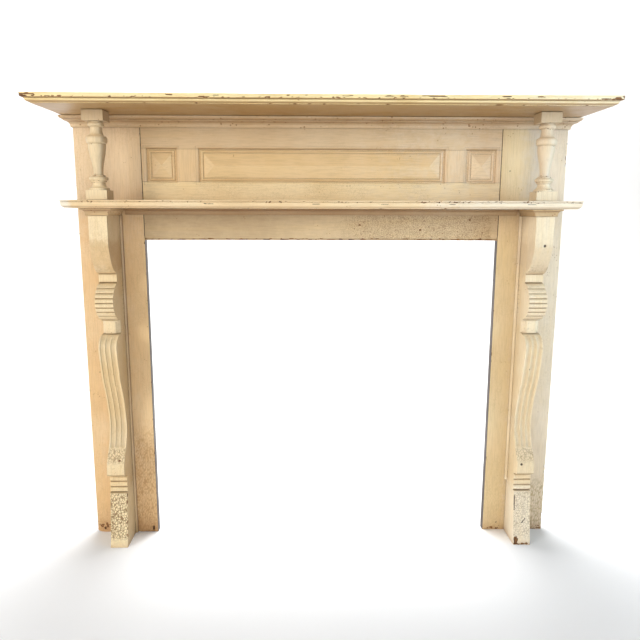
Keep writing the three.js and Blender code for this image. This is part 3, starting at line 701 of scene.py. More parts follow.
PAINTS = {
    "shelf": {
        "tone": (246, 226, 172), "aged": (240, 213, 152), "along": "X",
        "crackle": 0.12, "specks": 0.3, "shade_under": 0.76,
        # Painted cool light at the right end
        "shifts": [("X", 0.30, 0.70, (245, 231, 196), 0.8)],
    },
    "board_left": {
        "tone": (232, 202, 158), "aged": (226, 190, 140), "along": "Z",
        "crackle": 0.35, "specks": 0.25, "line": (186, 142, 92), "shaded_raw": REVEAL,
        "shifts": [
            ("X", -0.57, -0.53, (228, 193, 143), 0.6),
            ("Z", 0.85, 1.05, (232, 206, 168), 0.8),
            ("Z", 0.36, 0.10, (228, 186, 132), 0.45),
            ("Z", 0.060, 0.0, RUST_STAIN, 0.4),
        ],
    },
    "board_right": {
        "tone": (232, 208, 166), "aged": (226, 202, 156), "along": "Z",
        "specks": 0.2, "line": (172, 150, 108), "shaded_raw": REVEAL,
        "shifts": [
            # Painted cool light on the outer part, past the bracket
            ("X", 0.555, 0.615, (232, 214, 188), 1.0),
            ("Z", 0.030, 0.0, RUST_STAIN, 0.35),
        ],
    },
    "frieze": {
        # A darker tone for painted shade under the top shelf
        "tone": (220, 193, 153), "aged": (216, 186, 143), "along": "X",
        "crackle": 0.15, "shifts": [PAINTED_COOL_LIGHT],
    },
    "cornice": {
        # A darker tone for painted shade under the top shelf
        "tone": (226, 198, 158), "aged": (219, 188, 143), "along": "X",
        "crackle": 0.25, "specks": 0.95, "speck_scale": 90.0, "shifts": [PAINTED_COOL_LIGHT],
    },
    "bed_mould": {
        # A darker tone for painted shade under the top shelf, and painted cool light on the right
        "tone": (196, 163, 121), "aged": (187, 152, 109), "along": "X", "shade_under": 0.7,
        "shifts": [("X", 0.20, 0.40, (202, 177, 142), 0.9)],
    },
    "panel": {
        # Painted shade on faces turned up; painted cool light towards the right and on the right panel
        "tone": (236, 206, 158), "aged": (231, 200, 148), "along": "X",
        "crackle": 0.1, "specks": 0.1, "upward_shade": 0.5,
        "shifts": [PAINTED_COOL_LIGHT, ("X", 0.33, 0.39, (245, 221, 186), 0.8)],
    },
    "upright": {
        "tone": (232, 203, 161), "aged": (226, 194, 146), "along": "Z",
        "crackle": 0.15, "shifts": [PAINTED_COOL_LIGHT],
    },
    "header": {
        "tone": (246, 222, 174), "aged": (241, 214, 162), "along": "X",
        "specks": 0.3, "line": (140, 110, 70),
        "shifts": [
            # Painted cool light towards the right, and painted shade under the lower shelf
            ("X", 0.05, 0.60, (240, 222, 190), 0.7),
            ("Z", 0.998, 0.975, (203, 178, 140), 0.95),
            ("Z", OPENING_TOP + 1.5 * MM, OPENING_TOP + 0.5 * MM, (222, 184, 150), 0.9),
        ],
    },
    "lower_shelf": {
        "tone": (236, 211, 170), "aged": (230, 200, 154), "along": "X",
        "crackle": 0.2, "specks": 0.35,
        "shifts": [
            # Painted light: whiter at the left end, cooler towards the right
            ("X", -0.655, -0.675, (240, 234, 220), 0.8),
            ("X", 0.22, 0.40, (240, 226, 202), 0.85),
        ],
    },
    "cap": {
        # A darker tone for painted shade under the top shelf
        "tone": (202, 172, 130), "aged": (190, 158, 115), "along": "X",
        "crackle": 0.4, "specks": 1.0, "speck_scale": 110.0, "bare_back": False,
    },
    "left_leg": {
        "tone": (237, 214, 172), "aged": (230, 202, 154), "along": "Z",
        # Painted shade on the faces turned right
        "crackle": 0.25, "line": (134, 102, 62), "shade_under": 0.2, "shaded_side": 1, "bare_back": False,
        "shifts": [
            ("Z", 0.19, 0.15, (248, 230, 188), 0.7),
            ("Z", 0.80, 0.84, (208, 174, 126), 0.9),
            ("Z", 0.88, 0.93, (237, 214, 172), 1.0),
            # Painted shade on the upper part, under the top shelf
            ("Z", 1.06, 1.08, (222, 200, 162), 1.0),
            ("Z", 0.020, 0.0, RUST_STAIN, 0.3),
            # Painted shade on the cap block under the top shelf
            ("Z", CAP_BLOCK_START, CAP_BLOCK_FULL, (206, 180, 143), 0.9),
        ],
    },
    "left_bead": {
        # A darker tone and a shaded side: painted shade beside the left bracket's shaded side
        "tone": (192, 164, 127), "aged": (178, 148, 110), "along": "Z",
        "crackle": 0.25, "shade_under": 0.1, "shaded_side": 1,
    },
    "right_leg": {
        "tone": (238, 219, 186), "aged": (231, 208, 168), "along": "Z",
        "crackle": 0.2, "line": (152, 124, 90), "shade_under": 0.2, "bare_back": False,
        "shifts": [
            ("Z", 0.19, 0.15, (243, 231, 208), 0.7),
            ("Z", 0.80, 0.84, (214, 192, 159), 0.9),
            ("Z", 0.88, 0.93, (238, 219, 186), 1.0),
            # Painted shade on the upper part, under the top shelf
            ("Z", 1.06, 1.08, (228, 209, 179), 1.0),
            ("Z", 0.020, 0.0, RUST_STAIN, 0.3),
            # Painted shade on the cap block under the top shelf
            ("Z", CAP_BLOCK_START, CAP_BLOCK_FULL, (204, 182, 148), 0.9),
        ],
    },
}
paints = {name: old_paint(f"{name}_paint", **settings) for name, settings in PAINTS.items()}


def share(part):
    """A height on the bracket, from its share of the bracket's own."""
    return part * BRACKET_HEIGHT


def between(start, end, part):
    return start + (end - start) * part


def quadratic(start, control, end, steps):
    t = np.linspace(0, 1, steps + 1)[:, None]
    return (1 - t) ** 2 * np.array(start) + 2 * t * (1 - t) * np.array(control) + t * t * np.array(end)


def smooth_line(knots, steps):
    """A Catmull-Rom curve through the knots, with steps to each stretch."""
    knots = np.array(knots)
    last = len(knots) - 1
    t = np.arange(steps)[:, None] / steps
    stretches = []
    for i in range(last):
        before, here, there, after = (knots[min(max(i + k, 0), last)] for k in (-1, 0, 1, 2))
        leave, arrive = (there - before) / 2, (after - here) / 2
        cubic = 2 * here - 2 * there + leave + arrive
        square = -3 * here + 3 * there - 2 * leave - arrive
        stretches.append(cubic * t ** 3 + square * t ** 2 + leave * t + here)
    return np.concatenate(stretches + [knots[-1:]])


def closely(line, spacing):
    """Adds points between a line's own, so that no step is longer than spacing gives there."""
    stretches = [line[:1]]
    for start, end in zip(line[:-1], line[1:]):
        count = max(1, math.ceil(np.linalg.norm(end - start) / spacing((start + end) / 2)))
        part = np.arange(1, count + 1)[:, None] / count
        stretches.append(start + (end - start) * part)
    return np.concatenate(stretches)


def half_round(depth, relief, middle, half_height, steps):
    angle = np.linspace(-math.pi / 2, math.pi / 2, steps + 1)
    return np.stack([depth + relief * np.cos(angle), middle + half_height * np.sin(angle)], axis=1)


def leg_knots():
    ankle_to_pad = (ANKLE_DEPTH, ANKLE_PAD_DEPTH)
    ankle_to_calf = (ANKLE_DEPTH, CALF_DEPTH)
    calf_to_knee = (CALF_DEPTH, KNEE_DEPTH)
    neck_to_knee = (NECK_DEPTH, KNEE_DEPTH)
    knots = [
        (ANKLE_PAD_DEPTH, PAD_BOTTOM), (ANKLE_PAD_DEPTH, 0.25),
        (between(*ankle_to_pad, 0.87), 0.274), (between(*ankle_to_pad, 0.35), 0.312),
        (between(*ankle_to_pad, 0.06), 0.348), (ANKLE_DEPTH, 0.376),
        (between(*ankle_to_calf, 0.14), 0.421), (between(*ankle_to_calf, 0.44), 0.47),
        (between(*ankle_to_calf, 0.88), 0.52), (between(*calf_to_knee, 0.21), 0.556),
        (between(*calf_to_knee, 0.64), 0.587), (KNEE_DEPTH, 0.619),
        (between(*neck_to_knee, 0.82), 0.641), (between(*neck_to_knee, 0.41), 0.653),
        (NECK_DEPTH - 2 * QUIRK, NECK_BOTTOM),
    ]
    return [(depth, share(part)) for depth, part in knots]


def reed_line(steps):
    """Horizontal reeds round the bulge under the collar."""
    middle = share((REEDS_BOTTOM + REEDS_TOP) / 2)
    half_height = share((REEDS_TOP - REEDS_BOTTOM) / 2)
    part = np.arange(REED_COUNT * steps) / steps
    reach = 2 * part / REED_COUNT - 1
    sunk = REED_RELIEF * (1 - np.sqrt(1 - (2 * (part % 1) - 1) ** 2))
    depth = NECK_DEPTH + BULGE_RISE * (1 - reach ** 2) ** 0.65 - sunk
    height = middle + half_height * reach
    return np.stack([np.maximum(depth, NECK_DEPTH - QUIRK), height], axis=1)


def bracket_front():
    """The bracket's front edge from the floor up: forward distance from the boards, and height."""
    band_height = share(BANDS_TOP - BANDS_BOTTOM) / BAND_COUNT
    foot_control = (between(SHIN_DEPTH, FOOT_DEPTH, 0.33), share(BANDS_BOTTOM / 2))
    lines = [quadratic((FOOT_DEPTH, 0), foot_control, (SHIN_DEPTH, share(BANDS_BOTTOM)), 24)]
    for i in range(BAND_COUNT):
        middle = share(BANDS_BOTTOM) + (i + 0.5) * band_height
        lines.append(half_round(BAND_DEPTH, BAND_RELIEF, middle, (band_height - BAND_GROOVE) / 2, 14))
    lines.append([
        (BAND_DEPTH - QUIRK, share(BANDS_TOP + 0.002)),
        (ANKLE_PAD_DEPTH - QUIRK, share(PAD_BOTTOM - 0.003)),
    ])
    lines.append(smooth_line(leg_knots(), 8))
    lines.append([(NECK_DEPTH, share(NECK_BOTTOM)), (NECK_DEPTH, share(NECK_TOP))])
    lines.append(reed_line(12))
    lines.append([
        (NECK_DEPTH - QUIRK, share(REEDS_TOP)),
        (COLLAR_DEPTH, share(COLLAR_BOTTOM)),
        (COLLAR_DEPTH, share(COLLAR_TOP)),
        (COLLAR_DEPTH - QUIRK, share(SHOULDER_BOTTOM - 0.001)),
    ])
    shoulder_control = (between(COLLAR_DEPTH, BRACKET_TOP_DEPTH, 0.67), share(SHOULDER_BOTTOM + 0.008))
    shoulder_start = (COLLAR_DEPTH + QUIRK, share(SHOULDER_BOTTOM))
    lines.append(quadratic(shoulder_start, shoulder_control, (BRACKET_TOP_DEPTH, share(SHOULDER_TOP)), 18))
    lines.append([(BRACKET_TOP_DEPTH, BRACKET_HEIGHT)])
    return np.concatenate(lines)


def bracket_rows():
    """The front edge in steps close enough for crackle on the foot and the pad, and always rising."""
    def spacing(point):
        crackled = point[1] < share(FLUTES_BOTTOM)
        return 1.1 * MM if crackled else 2.4 * MM
    rows = closely(bracket_front(), spacing)
    least_rise = 0.01 * MM
    for i in range(1, len(rows)):
        rows[i, 1] = max(rows[i, 1], rows[i - 1, 1] + least_rise)
    rows[:, 1] = np.minimum(rows[:, 1], BRACKET_HEIGHT - least_rise * np.arange(len(rows))[::-1] * 0.1)
    return rows


def flute_middles():
    return [(i - (FLUTE_COUNT - 1) / 2) * FLUTE_PITCH for i in range(FLUTE_COUNT)]


def flute_sink(x, z):
    """How far the flutes cut into the leg."""
    low, high = share(FLUTES_BOTTOM), share(NECK_BOTTOM - 0.001)
    from_end = np.minimum(z - low, high - z)
    run_out = np.sqrt(1 - (1 - np.clip(from_end / (FLUTE_WIDTH / 2), 0, 1)) ** 2)
    sink = np.zeros_like(x)
    for middle in flute_middles():
        across = np.abs(x - middle) / (FLUTE_WIDTH / 2 * np.maximum(run_out, 1e-6))
        sink = np.maximum(sink, FLUTE_DEPTH * run_out * np.sqrt(1 - np.clip(across, 0, 1) ** 2))
    return sink


def front_columns(arris):
    """Places across the front, with how far each is set back by the rounded arris."""
    half = BRACKET_WIDTH / 2
    marks = [arris - half, half - arris]
    for middle in flute_middles():
        marks += [middle - FLUTE_WIDTH / 2, middle + FLUTE_WIDTH / 2]
    marks = np.array(sorted(marks))[:, None]
    flat = closely(marks, lambda _: 1.1 * MM)[:, 0]
    angle = np.linspace(0, math.pi / 2, 5)[1:]
    turn = half - arris + arris * np.sin(angle)
    x = np.concatenate([-turn[::-1], flat, turn])
    set_back = arris * (1 - np.cos(angle))
    return x, np.concatenate([set_back[::-1], np.zeros(len(flat)), set_back])


def bracket_shape(side):
    rows = bracket_rows()
    x, set_back = front_columns(1.3 * MM)
    depth, z = rows[:, :1], rows[:, 1:]
    across = np.broadcast_to(x, (len(rows), len(x)))
    level = np.broadcast_to(z, across.shape)
    at_neck = (level > share(NECK_BOTTOM)) & (level < share(NECK_TOP))
    chamfer = np.where(at_neck, np.maximum(np.abs(across) - (BRACKET_WIDTH / 2 - NECK_CHAMFER), 0), 0)
    front = depth - flute_sink(across, level) - chamfer - set_back
    reach = np.array([0, 0.3, 0.55, 0.75, 0.88, 0.95, 0.985])
    flank = FIT_GAP + (front[:, :1] - FIT_GAP) * reach
    forward = np.concatenate([flank, front, flank[:, ::-1]], axis=1)
    edge = np.full(flank.shape, BRACKET_WIDTH / 2)
    sideways = np.concatenate([-edge, across, edge], axis=1)
    rings = np.stack([side * BRACKET_LINE + sideways, BOARD_FACE - forward,
                      np.broadcast_to(z, forward.shape)], axis=2)
    return stacked_rings(rings)


def on_front(worn):
    return rise(-worn.normals[:, 1], 0.35, 0.7)


def foot_wear(worn, strength, size, depth, width):
    z = worn.rest[:, 2]
    shin = share(BANDS_BOTTOM)
    foot = rise(z, 12 * MM, 34 * MM) * rise(z, shin + 3 * MM, shin - 5 * MM)
    pad = rise(z, 0.252, 0.268) * rise(z, 0.302, 0.292)
    worn.crackle(np.maximum(foot * strength, pad * 0.7) * on_front(worn), size, depth, width)


def shade_flutes(worn, side, strength):
    """Grime and painted shade in the flutes, heaviest where they run out above the pad."""
    x, _, z = worn.rest.T
    depth = flute_sink(x - side * BRACKET_LINE, z) / FLUTE_DEPTH
    low, high = share(FLUTES_BOTTOM), share(NECK_BOTTOM)
    end = rise(np.minimum(z - low, high - z), 26 * MM, 6 * MM)
    grime_with_shade = np.maximum(depth ** 2 * strength, depth ** 0.6 * end * (strength + 0.1)) * on_front(worn)
    worn.crack = np.maximum(worn.crack, grime_with_shade)


def groove_grime_and_shade(worn, strength):
    """Grime and painted shade in the grooves of the bands, the reeds and the neck."""
    z = worn.rest[:, 2]
    lines = [BANDS_BOTTOM, BANDS_TOP, PAD_BOTTOM, NECK_BOTTOM, NECK_TOP, REEDS_TOP, COLLAR_TOP]
    lines += [between(BANDS_BOTTOM, BANDS_TOP, i / BAND_COUNT) for i in range(1, BAND_COUNT)]
    away = np.min(np.abs(z[:, None] - share(np.array(lines))[None, :]), axis=1)
    grime_with_shade = rise(away, 2.6 * MM, 1.0 * MM)
    middle = share((REEDS_BOTTOM + REEDS_TOP) / 2)
    half_height = share((REEDS_TOP - REEDS_BOTTOM) / 2)
    reach = (z - middle) / half_height
    reed = (reach + 1) / 2 * REED_COUNT
    between_reeds = rise(np.abs(reed - np.round(reed)), 0.17, 0.06) * (np.abs(reach) < 1)
    grime_with_shade = np.maximum(grime_with_shade, between_reeds) * rise(np.abs(worn.normals[:, 0]), 0.8, 0.5)
    uneven = 0.75 + 0.25 * noise(worn.rest, 14 * MM, worn.seed + 60, 2)
    worn.crack = np.maximum(worn.crack, grime_with_shade * uneven * strength)


def smudge(worn, low, high, strength):
    """Dirt rubbed into the front between two heights."""
    z = worn.rest[:, 2]
    zone = rise(z, low - 4 * MM, low + 2 * MM) * rise(z, high + 8 * MM, high - 8 * MM) * on_front(worn)
    spots = rise(noise(worn.rest, 5 * MM, worn.seed + 70, 2), 0.0, 0.7)
    worn.crack = np.maximum(worn.crack, zone * spots * strength)


def left_marks(worn):
    smudge(worn, share(COLLAR_TOP), share(COLLAR_TOP) + 24 * MM, 0.35)
    smudge(worn, share(NECK_BOTTOM), share(NECK_TOP), 0.2)
    foot_wear(worn, 1.0, (6 * MM, 30 * MM, 7.5 * MM), 0.8 * MM, 0.20)
    shade_flutes(worn, -1, 0.26)
    x, z = LEFT_PAD_CHIP
    worn.chip((x, front_at(z), z), (3.5 * MM, 8 * MM, 2.5 * MM), 0.9 * MM)
    for z in LEFT_FOOT_CHIPS:
        worn.chip((BRACKET_WIDTH / 2 - BRACKET_LINE, front_at(z), z), (2.2 * MM, 5 * MM, 5 * MM), 0.8 * MM)


def right_marks(worn):
    foot_wear(worn, 0.6, (6 * MM, 30 * MM, 6.5 * MM), 0.7 * MM, 0.20)
    shade_flutes(worn, 1, 0.2)
    smudge(worn, share(COLLAR_TOP), share(COLLAR_TOP) + 26 * MM, 0.6)
    smudge(worn, share(NECK_BOTTOM) - 40 * MM, share(NECK_TOP), 0.45)
    inner = BRACKET_LINE - BRACKET_WIDTH / 2
    z = worn.rest[:, 2]
    worn.chip((inner + 7 * MM, front_at(0.014), 0.014), (6.5 * MM, 12 * MM, 13 * MM), 3.2 * MM)
    worn.flakes(rise(z, 8 * MM, 2 * MM) * on_front(worn) * 0.6, (7 * MM, 9 * MM, 5 * MM), 1.8 * MM)
    def on_edge(along, height):
        return (inner + along, front_at(height), height)
    worn.split(on_edge(3 * MM, 0.104), on_edge(3 * MM, 0.150), 1.9 * MM, 2 * MM)
    worn.split(on_edge(26 * MM, 0.066), on_edge(35 * MM, 0.078), 1.8 * MM, 1 * MM)
    for x, z in RIGHT_BRACKET_DENTS:
        worn.dent((x, front_at(z), z), 4.5 * MM, 1.2 * MM)


def front_at(z):
    """Where the bracket's front is at a height."""
    rows = bracket_rows()
    return BOARD_FACE - np.interp(z, rows[:, 1], rows[:, 0])


def bracket(side, seed):
    worn = Worn(*bracket_shape(side), seed)
    marks = left_marks if side < 0 else right_marks
    marks(worn)
    groove_grime_and_shade(worn, 0.75)
    worn.undulate(45 * MM, 0.5 * MM)
    worn.round_arrises(0.5)
    return worn


def block_shape(low, high, spacing):
    corners = np.array([[(low, high)[(i >> k) & 1][k] for k in range(3)] for i in range(8)])
    faces = [(0, 2, 3, 1), (4, 5, 7, 6), (0, 1, 5, 4), (2, 6, 7, 3), (0, 4, 6, 2), (1, 3, 7, 5)]
    triangles = np.array([t for a, b, c, d in faces for t in ((a, b, c), (a, c, d))])
    return refine(corners, triangles, lambda middles: np.full(len(middles), spacing))


def turning_line(bottom, height):
    """The turned profile: radius and height, from the plinth block to the cap block."""
    def level(part):
        return bottom + part * height
    def ring(inner, outer, start, end):
        half = (level(end) - level(start)) / 2
        return half_round(inner, outer - inner, level(start) + half, half, 12)
    lines = [
        [(FOOT_RADIUS, level(0) - TURNING_SINK)],
        quadratic((FOOT_RADIUS, level(0.03)), (SCOTIA_RADIUS, level(0.04)),
                  (SCOTIA_RADIUS, level(0.115)), 12),
        [(FOOT_FILLET_RADIUS, level(0.12))],
        ring(FOOT_FILLET_RADIUS, FOOT_BEAD_RADIUS, 0.138, 0.198),
        [(STEM_COLLAR_RADIUS, level(0.2)), (STEM_COLLAR_RADIUS, level(0.218)), (STEM_RADIUS, level(0.226))],
        quadratic((STEM_RADIUS, level(0.226)), (STEM_RADIUS, level(0.34)),
                  (between(STEM_RADIUS, BELLY_RADIUS, 0.55), level(0.47)), 14)[1:],
        quadratic((between(STEM_RADIUS, BELLY_RADIUS, 0.55), level(0.47)), (BELLY_RADIUS, level(0.585)),
                  (BELLY_RADIUS, level(0.67)), 14)[1:],
        ring(BELLY_RADIUS - QUIRK / 2, SHOULDER_RADIUS, 0.678, 0.79),
        quadratic((BELLY_RADIUS - QUIRK / 2, level(0.79)), (THROAT_RADIUS, level(0.81)),
                  (THROAT_RADIUS, level(0.915)), 14)[1:],
        ring(NECK_FILLET_RADIUS, NECK_RING_RADIUS, 0.925, 0.98),
        [(NECK_FILLET_RADIUS, level(1) + TURNING_SINK)],
    ]
    line = closely(np.concatenate(lines), lambda _: 1.8 * MM)
    for i in range(1, len(line)):
        line[i, 1] = max(line[i, 1], line[i - 1, 1] + 0.01 * MM)
    return line


def baluster(name, seed):
    low, high = (np.array(corner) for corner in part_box(name))
    middle = (low + high) / 2
    plinth_top = low[2] + PLINTH_HEIGHT
    cap_bottom = high[2] - CAP_BLOCK_HEIGHT
    line = turning_line(plinth_top, cap_bottom - plinth_top)
    angle = 2 * math.pi * np.arange(TURNING_SIDES) / TURNING_SIDES
    rings = np.stack([
        middle[0] + line[:, :1] * np.cos(angle),
        middle[1] + line[:, :1] * np.sin(angle),
        np.broadcast_to(line[:, 1:], (len(line), TURNING_SIDES)),
    ], axis=2)
    shapes = [
        stacked_rings(rings),
        block_shape(low, np.array([high[0], high[1], plinth_top]), 3.2 * MM),
        block_shape(np.array([low[0], low[1], cap_bottom]), high, 3.2 * MM),
    ]
    points, triangles, count = [], [], 0
    for some_points, some_triangles in shapes:
        points.append(some_points)
        triangles.append(some_triangles + count)
        count += len(some_points)
    worn = Worn(np.concatenate(points), np.concatenate(triangles), seed)
    worn.flakes(worn.near_edges(1, 0.7) * 0.05, (4 * MM, 4 * MM, 3 * MM), 0.4 * MM)
    worn.undulate(14 * MM, 0.35 * MM)
    worn.round_arrises(0.4, 1)
    return worn


def quarter_arc(centre, radii, start, end, steps):
    angle = np.radians(np.linspace(start, end, steps + 1))
    return np.array(centre) + np.array(radii) * np.stack([np.cos(angle), np.sin(angle)], axis=1)


def shelf_shape(name, edge, spacing):
    """A shelf whose front and ends carry a moulding: each point of edge is an inset and a height."""
    low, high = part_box(name)
    inner = [150 * MM, 90 * MM, 50 * MM, edge[0, 0] + 12 * MM]
    under = [(inset, edge[0, 1]) for inset in inner if inset < (high.y - low.y) * 0.8]
    over = [(inset, edge[-1, 1]) for inset, _ in under[::-1]]
    across = np.linspace(0, 1, round((high.x - low.x) / spacing) + 1)[1:-1]
    along = np.linspace(0, 1, round((high.y - low.y) / (2 * spacing)) + 1)
    rings = []
    for inset, height in np.concatenate([under, edge, over]):
        left, right, front = low.x + inset, high.x - inset, low.y + inset
        y = high.y + (front - high.y) * along
        x = left + (right - left) * across
        ring_x = np.concatenate([np.full(len(y), left), x, np.full(len(y), right)])
        ring_y = np.concatenate([y, np.full(len(x), front), y[::-1]])
        rings.append(np.stack([ring_x, ring_y, np.full(len(ring_x), low.z + height)], axis=1))
    return stacked_rings(np.array(rings))


def bumps(x, centres, width):
    """1 around each of the centres, falling to 0 a width away."""
    away = np.min(np.abs(x[:, None] - np.array(centres)[None, :]), axis=1)
    return rise(away, width, width * 0.3)


def top_shelf():
    low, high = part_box("top_shelf")
    thick = high.z - low.z
    edge = np.concatenate([
        [(TOP_SET_BACK, 0), (TOP_SET_BACK, SHELF_FILLET)],
        quarter_arc((TOP_SET_BACK - SHELF_FILLET, TOP_OVOLO + SHELF_FILLET), (-TOP_OVOLO, TOP_OVOLO),
                    -90, 0, 7),
        [(TOP_SET_BACK - TOP_OVOLO - SHELF_QUIRK, thick - TOP_NOSE), (SHELF_FILLET, thick - TOP_NOSE)],
        [(0, thick - TOP_NOSE + SHELF_FILLET)],
        quarter_arc((TOP_ARRIS, thick - TOP_ARRIS), (-TOP_ARRIS, TOP_ARRIS), 0, 90, 5),
    ])
    worn = Worn(*shelf_shape("top_shelf", closely(edge, lambda _: 1.5 * MM), 2.2 * MM), 11)
    x, y, z = worn.rest.T
    inward = np.minimum(y - low.y, np.minimum(x - low.x, high.x - x))
    nose_foot = high.z - TOP_NOSE
    marks = bumps(x, NOSE_CLUSTERS, 20 * MM)
    groove_line = rise(z, nose_foot + 5 * MM, nose_foot + 2 * MM)
    groove_line *= rise(z, nose_foot - 4 * MM, nose_foot - 1 * MM)
    groove_line *= rise(inward, 6 * MM, 3 * MM)
    worn.flakes(groove_line * (0.07 + 0.45 * marks), (7 * MM, 9 * MM, 3 * MM), 1.3 * MM)
    middle_line = rise(np.abs(z - (high.z - 5.5 * MM)), 1.8 * MM, 0.8 * MM) * rise(inward, 2 * MM, 1 * MM)
    worn.flakes(middle_line * 0.18, (22 * MM, 9 * MM, 2 * MM), 0.35 * MM)
    tips = rise(np.abs(x), 0.690, 0.712) * rise(inward, 8 * MM, 2 * MM)
    tips *= rise(z, high.z - 1 * MM, high.z - 3 * MM)
    tips *= rise(y, low.y + 60 * MM, low.y + 25 * MM)
    worn.flakes(tips * 0.45, (7 * MM, 9 * MM, 4 * MM), 1.6 * MM)
    lower_arris = rise(z, low.z + 3.5 * MM, low.z + 1 * MM) * rise(inward, 24 * MM, 20 * MM)
    worn.flakes(lower_arris * 0.03, (12 * MM, 9 * MM, 3 * MM), 0.7 * MM)
    worn.undulate((90 * MM, 20 * MM, 9 * MM), 0.7 * MM)
    worn.round_arrises(0.6)
    return worn


def lower_shelf():
    low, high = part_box("lower_shelf")
    thick = high.z - low.z
    round_height = thick - LOWER_BEAD - 2 * SHELF_QUIRK
    edge = np.concatenate([
        [(LOWER_SET_BACK, 0)],
        quarter_arc((LOWER_SET_BACK, round_height),
                    (SHELF_QUIRK - LOWER_SET_BACK, round_height - SHELF_FILLET), -90, 0, 8),
        [(LOWER_QUIRK_DEPTH, round_height), (LOWER_QUIRK_DEPTH, thick - LOWER_BEAD)],
        [(0, thick - LOWER_BEAD)],
        quarter_arc((LOWER_ARRIS, thick - LOWER_ARRIS), (-LOWER_ARRIS, LOWER_ARRIS), 0, 90, 4),
    ])
    worn = Worn(*shelf_shape("lower_shelf", closely(edge, lambda _: 1.6 * MM), 2.3 * MM), 21)
    x, y, z = worn.rest.T
    inward = np.minimum(y - low.y, np.minimum(x - low.x, high.x - x))
    bead_foot = high.z - LOWER_BEAD
    quirk_line = rise(np.abs(z - bead_foot), 3 * MM, 1.5 * MM) * rise(inward, 5 * MM, 3 * MM)
    marks = bumps(x, SHELF_EDGE_MARKS, 40 * MM)
    worn.flakes(quirk_line * (0.03 + 0.10 * marks), (5 * MM, 9 * MM, 3 * MM), 0.8 * MM)
    lower_arris = rise(z, low.z + 4 * MM, low.z + 1 * MM) * rise(inward, 14 * MM, 10 * MM)
    worn.flakes(lower_arris * 0.03, (9 * MM, 9 * MM, 3 * MM), 0.7 * MM)
    for crack_x in SHELF_CRACKS:
        start = (crack_x, low.y, low.z + 13 * MM)
        worn.split(start, (crack_x + 42 * MM, low.y + 2 * MM, low.z + 12 * MM), 0.9 * MM, 0.8 * MM)
    worn.undulate((90 * MM, 20 * MM, 9 * MM), 0.6 * MM)
    worn.round_arrises(0.6)
    return worn


def board_crackle(x, z, side):
    """Where a board's paint has crackled: low on both sides of its bracket."""
    out = side * x - BRACKET_LINE
    inner = rise(-out, BRACKET_WIDTH / 2 - 3 * MM, BRACKET_WIDTH / 2 + 4 * MM)
    outer = rise(out, BRACKET_WIDTH / 2 - 3 * MM, BRACKET_WIDTH / 2 + 4 * MM)
    if side < 0:
        return np.maximum(inner * rise(z, 0.40, 0.26), 0.45 * outer * rise(z, 0.14, 0.04))
    return np.maximum(0.3 * inner * rise(z, 0.26, 0.12), outer * rise(z, 0.20, 0.13))


def lost_corner(x, z):
    """Raises the worn outer corner of the left board's foot."""
    across = np.clip((-x - (BOARD_EDGE - LOST_CORNER_WIDTH)) / LOST_CORNER_WIDTH, 0, 1)
    foot = LOST_CORNER_HEIGHT * (1 - np.sqrt(1 - across)) ** 2
    fade = 4 * LOST_CORNER_HEIGHT
    return np.where(z < fade, foot + z * (1 - foot / fade), z)


def board_shape(name, side):
    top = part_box(name)[1].z
    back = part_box(name)[1].y
    arris = 1.8 * MM
    half = BRACKET_WIDTH / 2
    slot = OPENING_EDGE + SLOT_FROM_OPENING
    marks = [OPENING_EDGE + arris, slot, slot + SLOT_WIDTH, BRACKET_LINE - half, BRACKET_LINE + half,
             BOARD_EDGE - arris]
    def across_step(point):
        return 14 * MM if abs(point[0] - BRACKET_LINE) < half else 1.45 * MM
    flat = closely(np.array(marks)[:, None], across_step)[:, 0]
    angle = np.linspace(0, math.pi / 2, 4)[1:]
    turn = arris * np.sin(angle)
    x = np.concatenate([OPENING_EDGE + arris - turn[::-1], flat, BOARD_EDGE - arris + turn])
    set_back = arris * (1 - np.cos(angle))
    set_back = np.concatenate([set_back[::-1], np.zeros(len(flat)), set_back])
    if side < 0:
        x, set_back = -x[::-1], set_back[::-1]
    def up_step(point):
        return 1.5 * MM if point[0] < 0.40 else 4.5 * MM
    z = closely(np.array([[0.0], [SLOT_HEIGHT], [OPENING_TOP], [top]]), up_step)
    rows = len(z)
    y = np.broadcast_to(BOARD_FACE + set_back, (rows, len(x)))
    reach = np.array([0, 0.35, 0.65, 0.9])
    flank = np.broadcast_to(back + (BOARD_FACE + arris - back) * reach, (rows, len(reach)))
    sideways = np.concatenate([np.full(len(reach), x[0]), x, np.full(len(reach), x[-1])])
    sideways = np.broadcast_to(sideways, (rows, len(sideways)))
    level = np.broadcast_to(z, sideways.shape)
    if side < 0:
        level = lost_corner(sideways, level)
    rings = np.stack([sideways, np.concatenate([flank, y, flank[:, ::-1]], axis=1), level], axis=2)
    return stacked_rings(rings)


